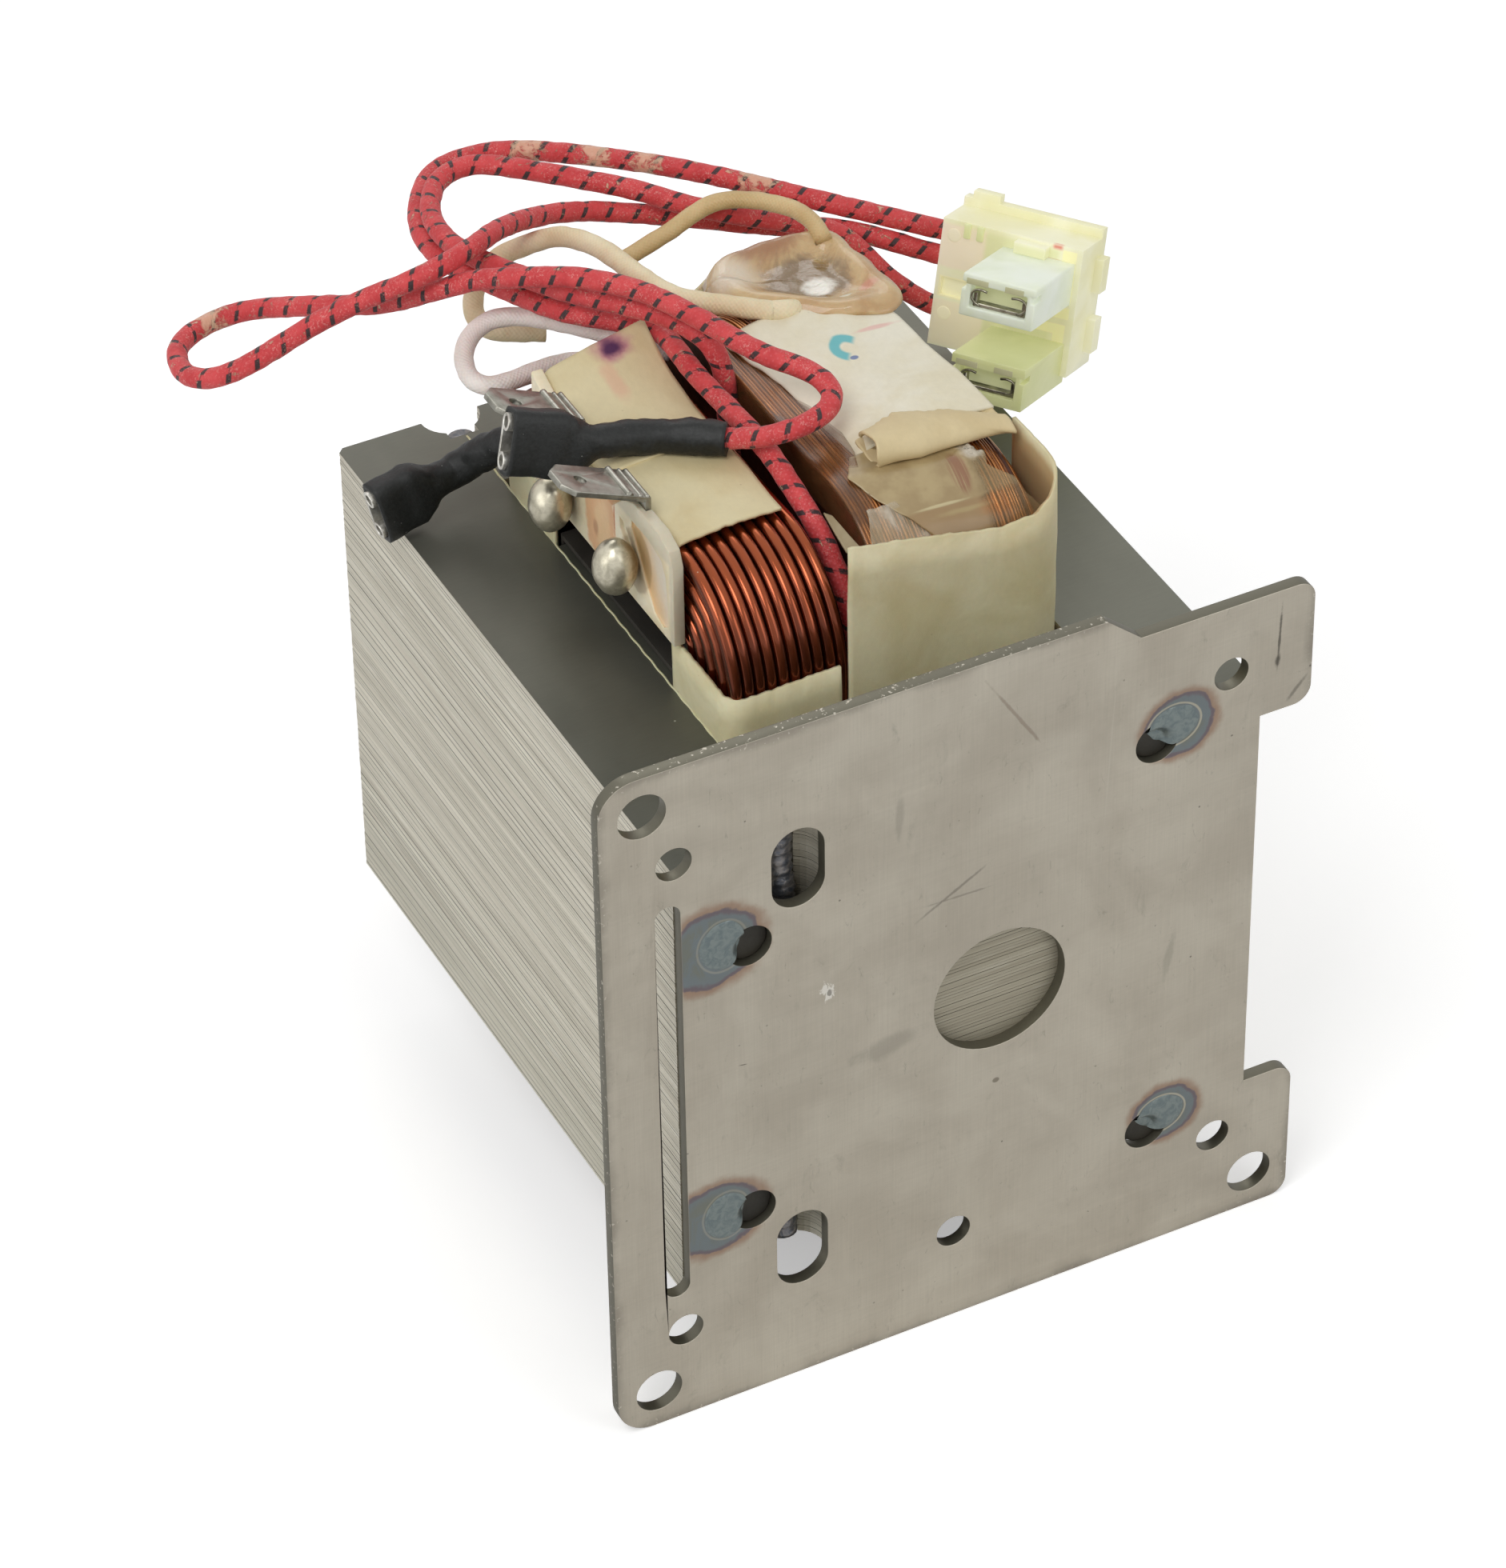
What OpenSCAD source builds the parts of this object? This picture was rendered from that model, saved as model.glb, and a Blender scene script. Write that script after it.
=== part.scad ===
// Shell type transformer of a microwave oven, with its mounting plate, windings and free leads.

/* [Mounting plate] */
// width of the plate, left edge to the outer edge of the right tabs
plate_w = 98; // [96:1:102]
// height of the plate at its left side
plate_h = 106; // [104:1:112]
// thickness of the sheet
plate_t = 1.8; // [1.5:0.1:2.5]
// radius of the outer corners
plate_r = 5; // [3:0.5:6]
// how far the right part of the top edge sits lower
top_step = 4.2; // [2:0.2:6]
// depth of the notch in the right edge
notch_in = 7.2; // [5:0.2:9]

/* [Plate holes] */
// diameter of the fixing holes near three corners
fixing_d = 6.4; // [5:0.1:7]
// distance of the fixing holes from the edges
fixing_in = 5.8; // [5.2:0.1:6.5]
// diameter of the four locating holes
locating_d = 4.8; // [4:0.1:5.5]
// pitch of the square of locating holes
locating_pitch = 76.6; // [74:0.2:78]
// diameter of the opening in the middle
centre_d = 18.6; // [12:0.2:22]
// width of the two long holes over the front joint
obround_w = 7.2; // [6:0.1:8]
// height of the two long holes
obround_h = 12; // [9:0.5:14]
// width of the slot at the left
slot_w = 3.4; // [2.5:0.1:4]
// height of the slot at the left
slot_h = 64; // [50:1:66]
// diameter of the holes that the plug welds fill in part
weld_d = 6; // [5:0.1:6.6]

/* [Core] */
// width of an outer leg and of the yokes, half of the centre leg
yoke = 16; // [15:0.25:16.5]
// height of the stack of laminations
stack_h = 69.2; // [66:0.2:72]
// distance of the core from the plate's left edge
core_in = 10.4; // [10:0.1:11.5]
// height of the core over the plate's lower edge
core_lift = 19.2; // [18.4:0.1:21]
// radius of the groove that takes the joint weld
groove_r = 4; // [3.5:0.1:4.5]

/* [Windings] */
// width of the primary along the centre leg
primary_w = 16; // [14:0.2:16.6]
// height of the primary over the core
primary_rise = 21.2; // [18.6:0.2:24.6]
// number of wire layers side by side on the primary's outside
primary_turns = 10; // [8:1:12]
// width of the secondary along the centre leg
secondary_w = 24.8; // [22:0.2:25.4]
// height of the secondary over the core
secondary_rise = 23.6; // [21.6:0.2:26.6]
// outer corner radius of both windings
winding_r = 15; // [12:0.5:16]
// thickness of the paper liners
liner_t = 0.5; // [0.4:0.05:0.7]
// diameter of a filament lead
lead_d = 2.7; // [2.4:0.1:3.2]

/* [Terminals] */
// width of a spade tab
tab_w = 6.35; // [4.8:0.05:6.5]
// thickness of a spade tab
tab_t = 0.8; // [0.6:0.1:1]
// thickness of the terminal board
board_t = 1.6; // [1.4:0.1:2.2]
// slope of the tabs over the horizontal
tab_slope = 24; // [15:1:32]

/* [Connector] */
// width of the connector block
block_w = 19.6; // [19:0.1:21]
// height of the connector block
block_h = 17.4; // [17:0.1:19]
// depth of the connector block
block_d = 8.4; // [7:0.1:9]
// length of the receptacle housings in front of the block
housing_l = 13.4; // [11:0.1:15]
// pitch of the two receptacle housings
housing_pitch = 10.9; // [10.6:0.1:11]

/* [Hidden] */
$fn = 48;
leg_w = 2 * yoke;
window_l = 3 * yoke;
core_l = 5 * yoke;
core_d = 6 * yoke;
// lowest and highest face of the core
core_z0 = core_lift;
core_z1 = core_lift + stack_h;
primary_h = core_z1 + primary_rise;
secondary_h = core_z1 + secondary_rise;
// how much higher the core's top is than where the leads' routes were drawn
rise = core_z1 - 88.4;
// middle plane of the centre leg, and the plane where the two parts of the core meet
mid_y = plate_t + core_d / 2;
joint_x = core_in + yoke;
window_x1 = joint_x + window_l;
core_x1 = core_in + core_l;
// half width of the winding outside and inside, across the centre leg
former_t = 0.7;
out_y = core_d / 2 - yoke - liner_t;
in_y = yoke + former_t;
primary_x0 = joint_x + liner_t + 0.4;
primary_x1 = primary_x0 + primary_w;
secondary_x1 = window_x1 - liner_t - 0.4;
secondary_x0 = secondary_x1 - secondary_w;
gap_w = secondary_x0 - primary_x1;
separator_t = 0.5;
filament_w = lead_d;
shunt_w = gap_w - separator_t - filament_w - 0.3;
shunt_x0 = primary_x1 + separator_t + 0.1;
filament_x0 = secondary_x0 - filament_w - 0.1;
filament_r = 9.6;
paper_t = 0.4;
primary_top = primary_h + paper_t;
board_x1 = primary_x0 - paper_t;
board_x0 = board_x1 - board_t;
liner_z1 = core_z1 + 7.6;
board_z0 = liner_z1 + 1.2;
board_z1 = primary_h + 0.4;
board_l = 38;
tab_y = [mid_y - 7.8, mid_y + 10.2];
block_at = [86.5, 78.5, 91.6];
block_turn = -52;
block_tilt = -18;
sleeve_wide = 8.6;
sleeve_thick = 4.2;
neck_d = 4.4;

// routes of the free leads, in the plate's own corner frame
route_upper = [[47, 23.6, 92.5], [46.7, 24.8, 98.5], [46, 29.8, 105.8], [45, 38.4, 110.9],
    [44.9, 46.2, 112], [43.6, 58.6, 113.2], [43.8, 66, 113.3], [43.7, 70.4, 113.1],
    [40.6, 74.2, 113.1], [34.6, 80.3, 113.2], [30.4, 91, 112], [28, 100, 110.8],
    [28.1, 107.5, 110.3], [30.9, 114.4, 110.2], [36, 120, 110.3], [43.6, 120.1, 110.6],
    [51.6, 115.4, 110.8], [65.2, 104.7, 110], [81.8, 92.5, 106.2], [92.3, 85.6, 103.4],
    [95.6, 81.8, 103.4]];
route_lower = [[47.2, 57.6, 98.4], [47.2, 58.4, 106], [47.2, 59.2, 112.4], [46, 61, 116.6],
    [43.8, 66.2, 117.5], [40.2, 72.1, 117.1], [34.8, 80.2, 116.4], [30.5, 91.2, 114.9],
    [28.6, 98.5, 114], [29.2, 106.5, 113.2], [32.5, 112.8, 113.1], [37, 115.2, 113.2],
    [42, 112.9, 113.3], [54.9, 102, 112.2], [61.4, 96, 110.8], [71.7, 90.4, 108.4],
    [78, 88.7, 106], [81.4, 87.3, 102.6], [84.2, 84.9, 98.8], [88.8, 83, 94.6],
    [93.2, 79.5, 92.9]];
route_capacitor = [[95, 80.6, 100.4], [91.2, 84.3, 100.6], [81.4, 90.8, 103.6],
    [72, 94.6, 105.2], [62, 98.4, 107.4], [54.5, 101.4, 108.8], [48.6, 102.6, 110.2],
    [41.9, 101.1, 112.6], [33.7, 95.6, 116.6], [26.6, 90.8, 118.2], [19.7, 90.9, 116.4],
    [13.1, 94.7, 112.6], [7.2, 97.2, 109], [0.6, 98.1, 106], [-4.1, 99.7, 103.8],
    [-6.7, 104, 102], [-5.9, 110, 101.2], [-2.8, 113.4, 101.1], [2.2, 114.4, 101.6],
    [6.7, 112.4, 102.8], [12.6, 105.5, 105.6], [18, 96.3, 110], [25.9, 87.1, 116.4],
    [30, 81.5, 119], [35.7, 76.5, 120.2], [40.8, 70, 120.6], [44.2, 62.8, 120.5],
    [48.8, 52.6, 119.4], [53.2, 47.5, 118.2], [54.4, 43.9, 117.2], [52.2, 41.1, 116.7],
    [47.9, 40.3, 116.2], [44, 42, 115], [41, 46.4, 112.9]];
route_white = [[45, 70, 109.7], [42.4, 73.8, 109.9], [40.3, 76.8, 109.7], [33.6, 85.4, 109.2],
    [28.6, 88.7, 108.4], [24.4, 86.9, 107.1], [22.5, 82.4, 106], [23.9, 79.2, 105.6],
    [28.5, 79.7, 105.2], [34.6, 80.8, 104.6], [39.6, 80, 104]];
route_cream = [[57.8, 66.3, 113.9], [52.5, 69.4, 114.8], [47.7, 73.6, 115], [45.8, 80.7, 114.8],
    [44.5, 89.2, 114.2], [42.2, 95.9, 112.5], [38.9, 99.2, 110.1], [35.6, 100.7, 108.4],
    [32.8, 100.8, 105.8], [30.8, 98.7, 103.5], [30.9, 95.9, 102], [33.9, 94.1, 101.4],
    [38.2, 92.6, 101]];
route_tan = [[48.7, 92.7, 108], [56.2, 92.7, 110.4], [62.2, 93, 112.6], [66.1, 90.3, 113.8],
    [69.6, 84.7, 114.8], [70.5, 79.7, 115.3], [70.1, 76, 114.8]];
route_neck_upper = [[27, 52.4, 113.6], [32, 51.6, 112.9], [37, 49.2, 112.8], [41, 46.4, 112.9]];
route_neck_lower = [[18.9, 78.4, 95.2], [21.8, 76, 98.4], [23.8, 72.8, 101.2], [24.8, 70, 102.6]];

// length one, and the frame that a route carries along
function unit(v) = v / norm(v);
function along(p, i) = unit(p[min(i + 1, len(p) - 1)] - p[max(i - 1, 0)]);
function carried(p, i) = i == 0
    ? unit(cross(along(p, 0), [0.3, 0.2, 1]))
    : let (n = carried(p, i - 1), t = along(p, i)) unit(n - (n * t) * t);

// round tube along a route
module lead(p, d, sides = 8) {
    rings = [for (i = [0 : len(p) - 1])
        let (t = along(p, i), n = carried(p, i), b = cross(t, n))
            for (k = [0 : sides - 1])
                let (a = 360 * k / sides) p[i] + d / 2 * (cos(a) * n + sin(a) * b)];
    skin = [for (i = [0 : len(p) - 2]) for (k = [0 : sides - 1])
        let (m = (k + 1) % sides)
            [i * sides + k, (i + 1) * sides + k, (i + 1) * sides + m, i * sides + m]];
    first = [for (k = [0 : sides - 1]) k];
    last = [for (k = [sides - 1 : -1 : 0]) (len(p) - 1) * sides + k];
    polyhedron(points = rings, faces = concat(skin, [first], [last]), convexity = 8);
}

// the corner frame starts at the plate's lower left front corner
module place() {
    translate([-plate_w / 2, -(plate_t + core_d) / 2, 0])
        children();
}

// the same, for what hangs on the leads
module place_high() {
    translate([0, 0, rise])
        place()
            children();
}

// extrusion along Y of an outline drawn in X and Z
module slab_y(y0, t) {
    translate([0, y0 + t, 0])
        rotate([90, 0, 0])
            linear_extrude(t)
                children();
}

// extrusion along X of an outline drawn in Y and Z
module slab_x(x0, t) {
    translate([x0, 0, 0])
        rotate([90, 0, 90])
            linear_extrude(t)
                children();
}

module rounded(w, h, r) {
    translate([r, 0])
        square([w - 2 * r, h]);
    translate([0, r])
        square([w, h - 2 * r]);
    for (x = [r, w - r], y = [r, h - r])
        translate([x, y])
            circle(r);
}

module plate_outline() {
    low = plate_h - top_step;
    difference() {
        union() {
            rounded(plate_w - notch_in, plate_h, plate_r);
            translate([plate_w / 2, 0])
                rounded(plate_w / 2, 22.4, 2.5);
            translate([plate_w / 2, 83])
                rounded(plate_w / 2, low - 83, 2.5);
        }
        // the right part of the top edge is lower, with a slope between
        polygon([[68.6, plate_h + 1], [68.6, plate_h], [73.4, low], [plate_w + 1, low],
            [plate_w + 1, plate_h + 1]]);
    }
}

module mounting_plate() {
    mid_z = plate_h / 2;
    loc_x = 9.8;
    loc_z = mid_z - locating_pitch / 2;
    color([0.62, 0.6, 0.56])
        place()
            slab_y(0, plate_t)
                difference() {
                    plate_outline();
                    for (z = [fixing_in, plate_h - fixing_in])
                        translate([fixing_in, z])
                            circle(d = fixing_d);
                    translate([plate_w - fixing_in, fixing_in])
                        circle(d = fixing_d);
                    for (x = [0, locating_pitch], z = [0, locating_pitch])
                        translate([loc_x + x, loc_z + z])
                            circle(d = locating_d);
                    translate([loc_x + locating_pitch / 2, loc_z])
                        circle(d = locating_d);
                    translate([core_in + core_l / 2 + 4, mid_z + 0.3])
                        circle(d = centre_d);
                    for (z = [mid_z - 31.4, mid_z + 31.2])
                        translate([joint_x - obround_w / 2, z - obround_h / 2])
                            rounded(obround_w, obround_h, obround_w / 2 - 0.01);
                    translate([7.1, mid_z - slot_h / 2])
                        rounded(slot_w, slot_h, slot_w / 2 - 0.01);
                    for (p = weld_points())
                        translate([p[0], p[1]])
                            circle(d = weld_d);
                }
}

// centre of each weld hole, and where its bead lies from that centre
function weld_points() = [[19.7, 74.5, -2.4], [19.7, 31, -2.8], [76.1, 84.4, 2.6], [76.2, 20.2, 2.4]];

// bead that lies on the plate's face and runs down into the hole
module plate_weld(i) {
    p = weld_points()[i];
    r = weld_d / 2;
    color([0.36, 0.4, 0.42])
        place() {
            translate([p[0] + p[2], 0, p[1]])
                intersection() {
                    scale([1, 0.24, 1.05])
                        sphere(3.1, $fn = 32);
                    translate([-5, -2, -5])
                        cube([10, 2, 10]);
                }
            slab_y(0, plate_t)
                translate([p[0], p[1]])
                    intersection() {
                        circle(r - 0.05);
                        translate([p[2] > 0 ? 0.4 : -2 * r - 0.4, -r])
                            square([2 * r, 2 * r]);
                    }
        }
}

module plate_weld_left_upper() {
    plate_weld(0);
}

module plate_weld_left_lower() {
    plate_weld(1);
}

module plate_weld_right_upper() {
    plate_weld(2);
}

module plate_weld_right_lower() {
    plate_weld(3);
}

// groove across the joint of the core, seen from above
module groove() {
    circle(groove_r);
    translate([-2, 0])
        square([4, groove_r + 0.8]);
}

module core_cut() {
    translate([joint_x, plate_t])
        groove();
    translate([joint_x, plate_t + core_d])
        rotate(180)
            groove();
}

module e_core() {
    color([0.42, 0.42, 0.38])
        place()
            translate([0, 0, core_z0])
                linear_extrude(stack_h)
                    difference() {
                        translate([joint_x, plate_t])
                            square([core_l - yoke, core_d]);
                        for (s = [-1, 1])
                            translate([joint_x - 1, mid_y + s * 1.5 * yoke - yoke / 2])
                                square([window_l + 1, yoke]);
                        core_cut();
                    }
}

module i_core() {
    color([0.42, 0.42, 0.38])
        place()
            translate([0, 0, core_z0])
                linear_extrude(stack_h)
                    difference() {
                        translate([core_in, plate_t])
                            square([yoke, core_d]);
                        core_cut();
                        // the rear left edge is broken
                        translate([core_in, plate_t + core_d])
                            rotate(45)
                                square(1.2, center = true);
                    }
}

// weld bead that lies on the flat bottom of a groove
module joint_bead() {
    color([0.3, 0.32, 0.36])
        linear_extrude(stack_h - 2)
            intersection() {
                translate([0, groove_r - 0.7])
                    circle(1.7);
                translate([-3, 0])
                    square([6, groove_r + 0.8]);
            }
}

module joint_weld_front() {
    place()
        translate([joint_x, plate_t, core_z0 + 1])
            joint_bead();
}

module joint_weld_rear() {
    place()
        translate([joint_x, plate_t + core_d, core_z0 + 1])
            rotate(180)
                joint_bead();
}

module shunt() {
    color([0.4, 0.38, 0.34])
        translate([shunt_x0, yoke + filament_r + 0.3, core_z0 + 4])
            cube([shunt_w, out_y - yoke - filament_r - 0.3, stack_h - 8]);
}

// turns a piece made for the rear window to the front one
module at_rear() {
    translate([0, mid_y, 0])
        children();
}

module at_front() {
    translate([0, mid_y, 0])
        mirror([0, 1, 0])
            children();
}

module magnetic_shunt_front() {
    place()
        at_front()
            shunt();
}

module magnetic_shunt_rear() {
    place()
        at_rear()
            shunt();
}

// paper tube around the centre leg
module former(x0, w) {
    color([0.8, 0.76, 0.6])
        slab_x(x0, w)
            difference() {
                translate([mid_y - yoke - former_t, core_z0 - 1.4])
                    square([leg_w + 2 * former_t, stack_h + 2.8]);
                translate([mid_y - yoke, core_z0 - 0.7])
                    square([leg_w, stack_h + 1.4]);
            }
}

module primary_former() {
    place()
        former(primary_x0, primary_w);
}

module secondary_former() {
    place()
        former(secondary_x0, secondary_w);
}

// section of a winding, seen along the centre leg
module winding_outline(h, less) {
    translate([mid_y - out_y + less, less])
        rounded(2 * (out_y - less), h - 2 * less, winding_r - less);
}

// the winding lies on its former
module winding_inside() {
    translate([mid_y - in_y, core_z0 - former_t - 0.9])
        square([2 * in_y, stack_h + 2 * former_t + 1.8]);
}

module primary_winding() {
    pitch = primary_w / primary_turns;
    color([0.4, 0.19, 0.11])
        place() {
            slab_x(primary_x0, primary_w)
                difference() {
                    winding_outline(primary_h, 0.5);
                    winding_inside();
                }
            for (i = [0 : primary_turns - 1])
                slab_x(primary_x0 + (i + 0.15) * pitch, 0.7 * pitch)
                    difference() {
                        winding_outline(primary_h, 0);
                        winding_inside();
                    }
        }
}

module secondary_winding() {
    color([0.45, 0.27, 0.14])
        place()
            // the outer end is rounded in steps, to pass inside its liner's corner
            for (step = [[0, 5, 0], [5, 2.6, 1], [2.6, 1, 2.4], [1, 0, 4.5]])
                slab_x(step[2] == 0 ? secondary_x0 : secondary_x1 - step[0],
                    step[2] == 0 ? secondary_w - 5 : step[0] - step[1])
                    difference() {
                        winding_outline(secondary_h, step[2]);
                        winding_inside();
                    }
}

// few turns of the filament lead, around the centre leg between the windings
module filament_winding() {
    z0 = core_z0 - filament_r - 1;
    color([0.5, 0.12, 0.14])
        place()
            slab_x(filament_x0, filament_w)
                difference() {
                    translate([mid_y - yoke - filament_r, z0])
                        rounded(leg_w + 2 * filament_r, stack_h + 2 * filament_r + 2, 6);
                    translate([mid_y - yoke, z0 + filament_r])
                        square([leg_w, stack_h + 2]);
                }
}

module separator() {
    color([0.5, 0.33, 0.16])
        translate([primary_x1, in_y + 0.2, core_z0 - 5])
            cube([separator_t, out_y - in_y - 0.2, stack_h + 13]);
}

module separator_front() {
    place()
        at_front()
            separator();
}

module separator_rear() {
    place()
        at_rear()
            separator();
}

// folded sheet between a winding and the core, open towards the other winding
module primary_liner() {
    color([0.8, 0.79, 0.7])
        translate([0, 0, core_z0 - 7])
            linear_extrude(liner_z1 - core_z0 + 7)
                difference() {
                    translate([joint_x, yoke + 0.6])
                        square([primary_x1 - joint_x - 1.6, out_y + liner_t - yoke - 0.6]);
                    translate([joint_x + liner_t, yoke])
                        square([primary_w + 3, out_y - yoke]);
                }
}

module primary_liner_front() {
    place()
        at_front()
            primary_liner();
}

module primary_liner_rear() {
    place()
        at_rear()
            primary_liner();
}

// the secondary's liner stands higher and turns round its outer corner
module secondary_liner() {
    r = 6;
    x0 = primary_x1 - 0.4;
    color([0.8, 0.79, 0.7])
        intersection() {
            translate([0, 0, core_z0 - 9.2])
                linear_extrude(secondary_h - core_z0 + 11.2)
                    difference() {
                        union() {
                            translate([x0, yoke])
                                square([window_x1 - x0 - r, out_y + liner_t - yoke]);
                            translate([window_x1 - r - 1, yoke + 0.6])
                                square([r + 1, out_y + liner_t - yoke - r]);
                            translate([window_x1 - r, out_y + liner_t - r])
                                circle(r);
                        }
                        translate([x0 - 1, yoke - 1])
                            square([window_x1 - x0 - r + 1, out_y - yoke + 1]);
                        translate([window_x1 - r - 1, yoke - 1])
                            square([r + 1 - liner_t, out_y - yoke - r + 1]);
                        translate([window_x1 - r, out_y + liner_t - r])
                            circle(r - liner_t);
                    }
            // the top edge falls a little to the outer side
            slab_y(0, core_d)
                polygon([[x0 - 1, 0], [x0 - 1, secondary_h + 1.6], [window_x1 - 8.4, secondary_h - 1.6],
                    [window_x1 - 3, secondary_h - 1.4], [window_x1 + 1, secondary_h + 1],
                    [window_x1 + 1, 0]]);
        }
}

module secondary_liner_front() {
    place()
        at_front()
            secondary_liner();
}

module secondary_liner_rear() {
    place()
        at_rear()
            secondary_liner();
}

// paper on the left face of the primary's upper end
module primary_side_paper() {
    color([0.83, 0.8, 0.65])
        place()
            translate([board_x1, mid_y - yoke - 1.4, core_z1 + primary_rise / 3])
                cube([paper_t, leg_w + 2.8, primary_rise * 2 / 3]);
}

module primary_paper_front() {
    color([0.84, 0.81, 0.68])
        place()
            translate([primary_x0 - paper_t, mid_y - yoke - 0.4, primary_h])
                cube([primary_w - 0.6, yoke, paper_t]);
}

module primary_paper_rear() {
    color([0.84, 0.81, 0.68])
        place()
            slab_x(primary_x0 - paper_t, primary_w - 1.6)
                polygon([[mid_y - 0.4, primary_h], [mid_y + 4, primary_h], [mid_y + 20, primary_h + 4],
                    [mid_y + 19.8, primary_h + 4 + paper_t], [mid_y + 3.8, primary_h + paper_t],
                    [mid_y - 0.4, primary_h + paper_t]]);
}

// upright board that carries the two tabs
module terminal_board() {
    y0 = mid_y - board_l / 2 - 0.5;
    color([0.87, 0.82, 0.7])
        place()
            difference() {
                slab_x(board_x0, board_t)
                    polygon([[y0, board_z0], [y0 + board_l, board_z0], [y0 + board_l, board_z1 + 2],
                        [y0 + board_l - 4, board_z1 + 2], [y0 + board_l - 6, board_z1 - 2],
                        [y0 + 16.5, board_z1 - 2], [y0 + 13.5, board_z1 + 0.8],
                        [y0 + 10.5, board_z1 + 2.3], [y0 + 3.7, board_z1 + 2.3],
                        [y0 + 0.9, board_z1 + 1.2], [y0, board_z1 - 1]]);
                for (y = tab_y)
                    translate([board_x1 - tab_t, y - tab_w / 2 - 0.1, board_z0 + 2])
                        cube([tab_t + 1, tab_w + 0.2, 30]);
            }
}

// spade tab: it stands in the board's recess, bends over the top and points up to the left
module terminal_tab(y) {
    rise = sin(tab_slope);
    run = cos(tab_slope);
    top = board_z1 + 3.9;
    blade = 12.3;
    color([0.66, 0.66, 0.64])
        place()
            translate([board_x1, y, 0]) {
                translate([-tab_t, -tab_w / 2, board_z0 + 2])
                    cube([tab_t, tab_w, top - board_z0 - 2]);
                translate([0, 0, top])
                    rotate([0, tab_slope, 0])
                        difference() {
                            translate([-blade, -tab_w / 2, -tab_t])
                                cube([blade, tab_w, tab_t]);
                            translate([-blade + 3.6, 0, -2])
                                cylinder(h = 4, d = 1.6);
                            for (s = [-1, 1])
                                translate([-blade, s * tab_w / 2, 0])
                                    rotate(45)
                                        cube([2.2, 2.2, 4], center = true);
                        }
            }
}

module terminal_tab_front() {
    terminal_tab(tab_y[0]);
}

module terminal_tab_rear() {
    terminal_tab(tab_y[1]);
}

// tall blob of solder, on a flat foot on the board's outer face
module solder_ball(y, z) {
    r = 2.6;
    color([0.72, 0.71, 0.66])
        place()
            translate([board_x0 - r, y, z]) {
                translate([0, 0, -1.3])
                    cylinder(h = 2.6, r = r);
                for (s = [-1, 1])
                    translate([0, 0, s * 1.3])
                        sphere(r);
                rotate([0, 90, 0])
                    cylinder(h = r, r = 1.9);
            }
}

module solder_ball_front() {
    solder_ball(mid_y - 9.4, board_z0 + 6.8);
}

module solder_ball_rear() {
    solder_ball(mid_y + 8.6, board_z0 + 4.2);
}

// glued sheet over the secondary's top, rolled up at the front
module secondary_cover_paper() {
    color([0.85, 0.81, 0.68])
        place()
            translate([0, 0, secondary_h]) {
                translate([secondary_x1 - 19.4, mid_y - 14, 0])
                    cube([19.4, 28, 0.5]);
                translate([secondary_x1 - 19.4, mid_y - 14, 2.2])
                    rotate([0, 90, 0])
                        difference() {
                            cylinder(h = 18.4, r = 2.2);
                            translate([0, 0, -1])
                                cylinder(h = 21, r = 1.7);
                            translate([-3, 0, -1])
                                cube([3, 3, 21]);
                        }
            }
}

// loose film that lies under the rolled sheet, over the front of the secondary
module secondary_film_flap() {
    color([0.78, 0.74, 0.66])
        place()
            slab_x(secondary_x0 + 2, 14)
                intersection() {
                    difference() {
                        winding_outline(secondary_h, -0.4);
                        winding_outline(secondary_h, -0.1);
                    }
                    translate([0, secondary_h - 6])
                        square([mid_y - 15.7, 8]);
                }
}

// hardened paper around the joint of the high voltage lead, over the winding's rear turns
module lead_wrap_varnished() {
    h = secondary_h;
    x0 = secondary_x0 + 4.3;
    y0 = mid_y + 14.2;
    y1 = mid_y + 31;
    color([0.62, 0.56, 0.4])
        place()
            intersection() {
                slab_x(secondary_x0, secondary_w)
                    difference() {
                        polygon([[y0, h - 1], [y0, h + 0.9], [mid_y + 20, h + 0.8], [mid_y + 25, h + 1.4],
                            [mid_y + 27.4, h + 2.4], [mid_y + 29, h + 1.8], [mid_y + 30.4, h - 2],
                            [y1, h - 7], [mid_y + 24, h - 7]]);
                        winding_outline(secondary_h, 0);
                    }
                translate([0, 0, h - 8])
                    linear_extrude(12)
                        polygon([[x0, mid_y + 25.5], [x0 + 1.6, y1 - 1.2], [x0 + 4, y1],
                            [secondary_x1 - 3, y1], [secondary_x1 - 0.6, y1 - 3], [secondary_x1, y0],
                            [secondary_x1 - 4, y0], [x0 + 4.6, y0 + 2]]);
            }
}

module filament_lead_upper() {
    color([0.78, 0.22, 0.24])
        place_high()
            lead(route_upper, lead_d);
}

module filament_lead_lower() {
    color([0.7, 0.18, 0.2])
        place_high()
            lead(route_lower, lead_d);
}

module capacitor_lead() {
    color([0.78, 0.22, 0.24])
        place_high()
            lead(route_capacitor, lead_d);
}

module white_lead() {
    color([0.85, 0.82, 0.8])
        place_high()
            lead(route_white, 2.5);
}

module cream_sleeve() {
    color([0.87, 0.83, 0.68])
        place_high()
            lead(route_cream, 2.7);
}

module tan_sleeve() {
    color([0.8, 0.72, 0.55])
        place_high()
            lead(route_tan, 2.3);
}

// frame of each black sleeve: X runs in from its mouth, Z is its wide side
module at_upper_sleeve() {
    translate([15.4, 52.4, 117])
        rotate([0, 16, 0])
            rotate([-20, 0, 0])
                children();
}

module at_lower_sleeve() {
    translate([7, 78.4, 92.8])
        rotate([0, -11, 0])
            rotate([-7, 0, 0])
                children();
}

module sleeve_section(l, less) {
    r = sleeve_thick / 2;
    for (s = [-1, 1])
        translate([0, 0, s * (sleeve_wide / 2 - r)])
            rotate([0, 90, 0])
                cylinder(h = l, r = r - less, $fn = 24);
}

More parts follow.
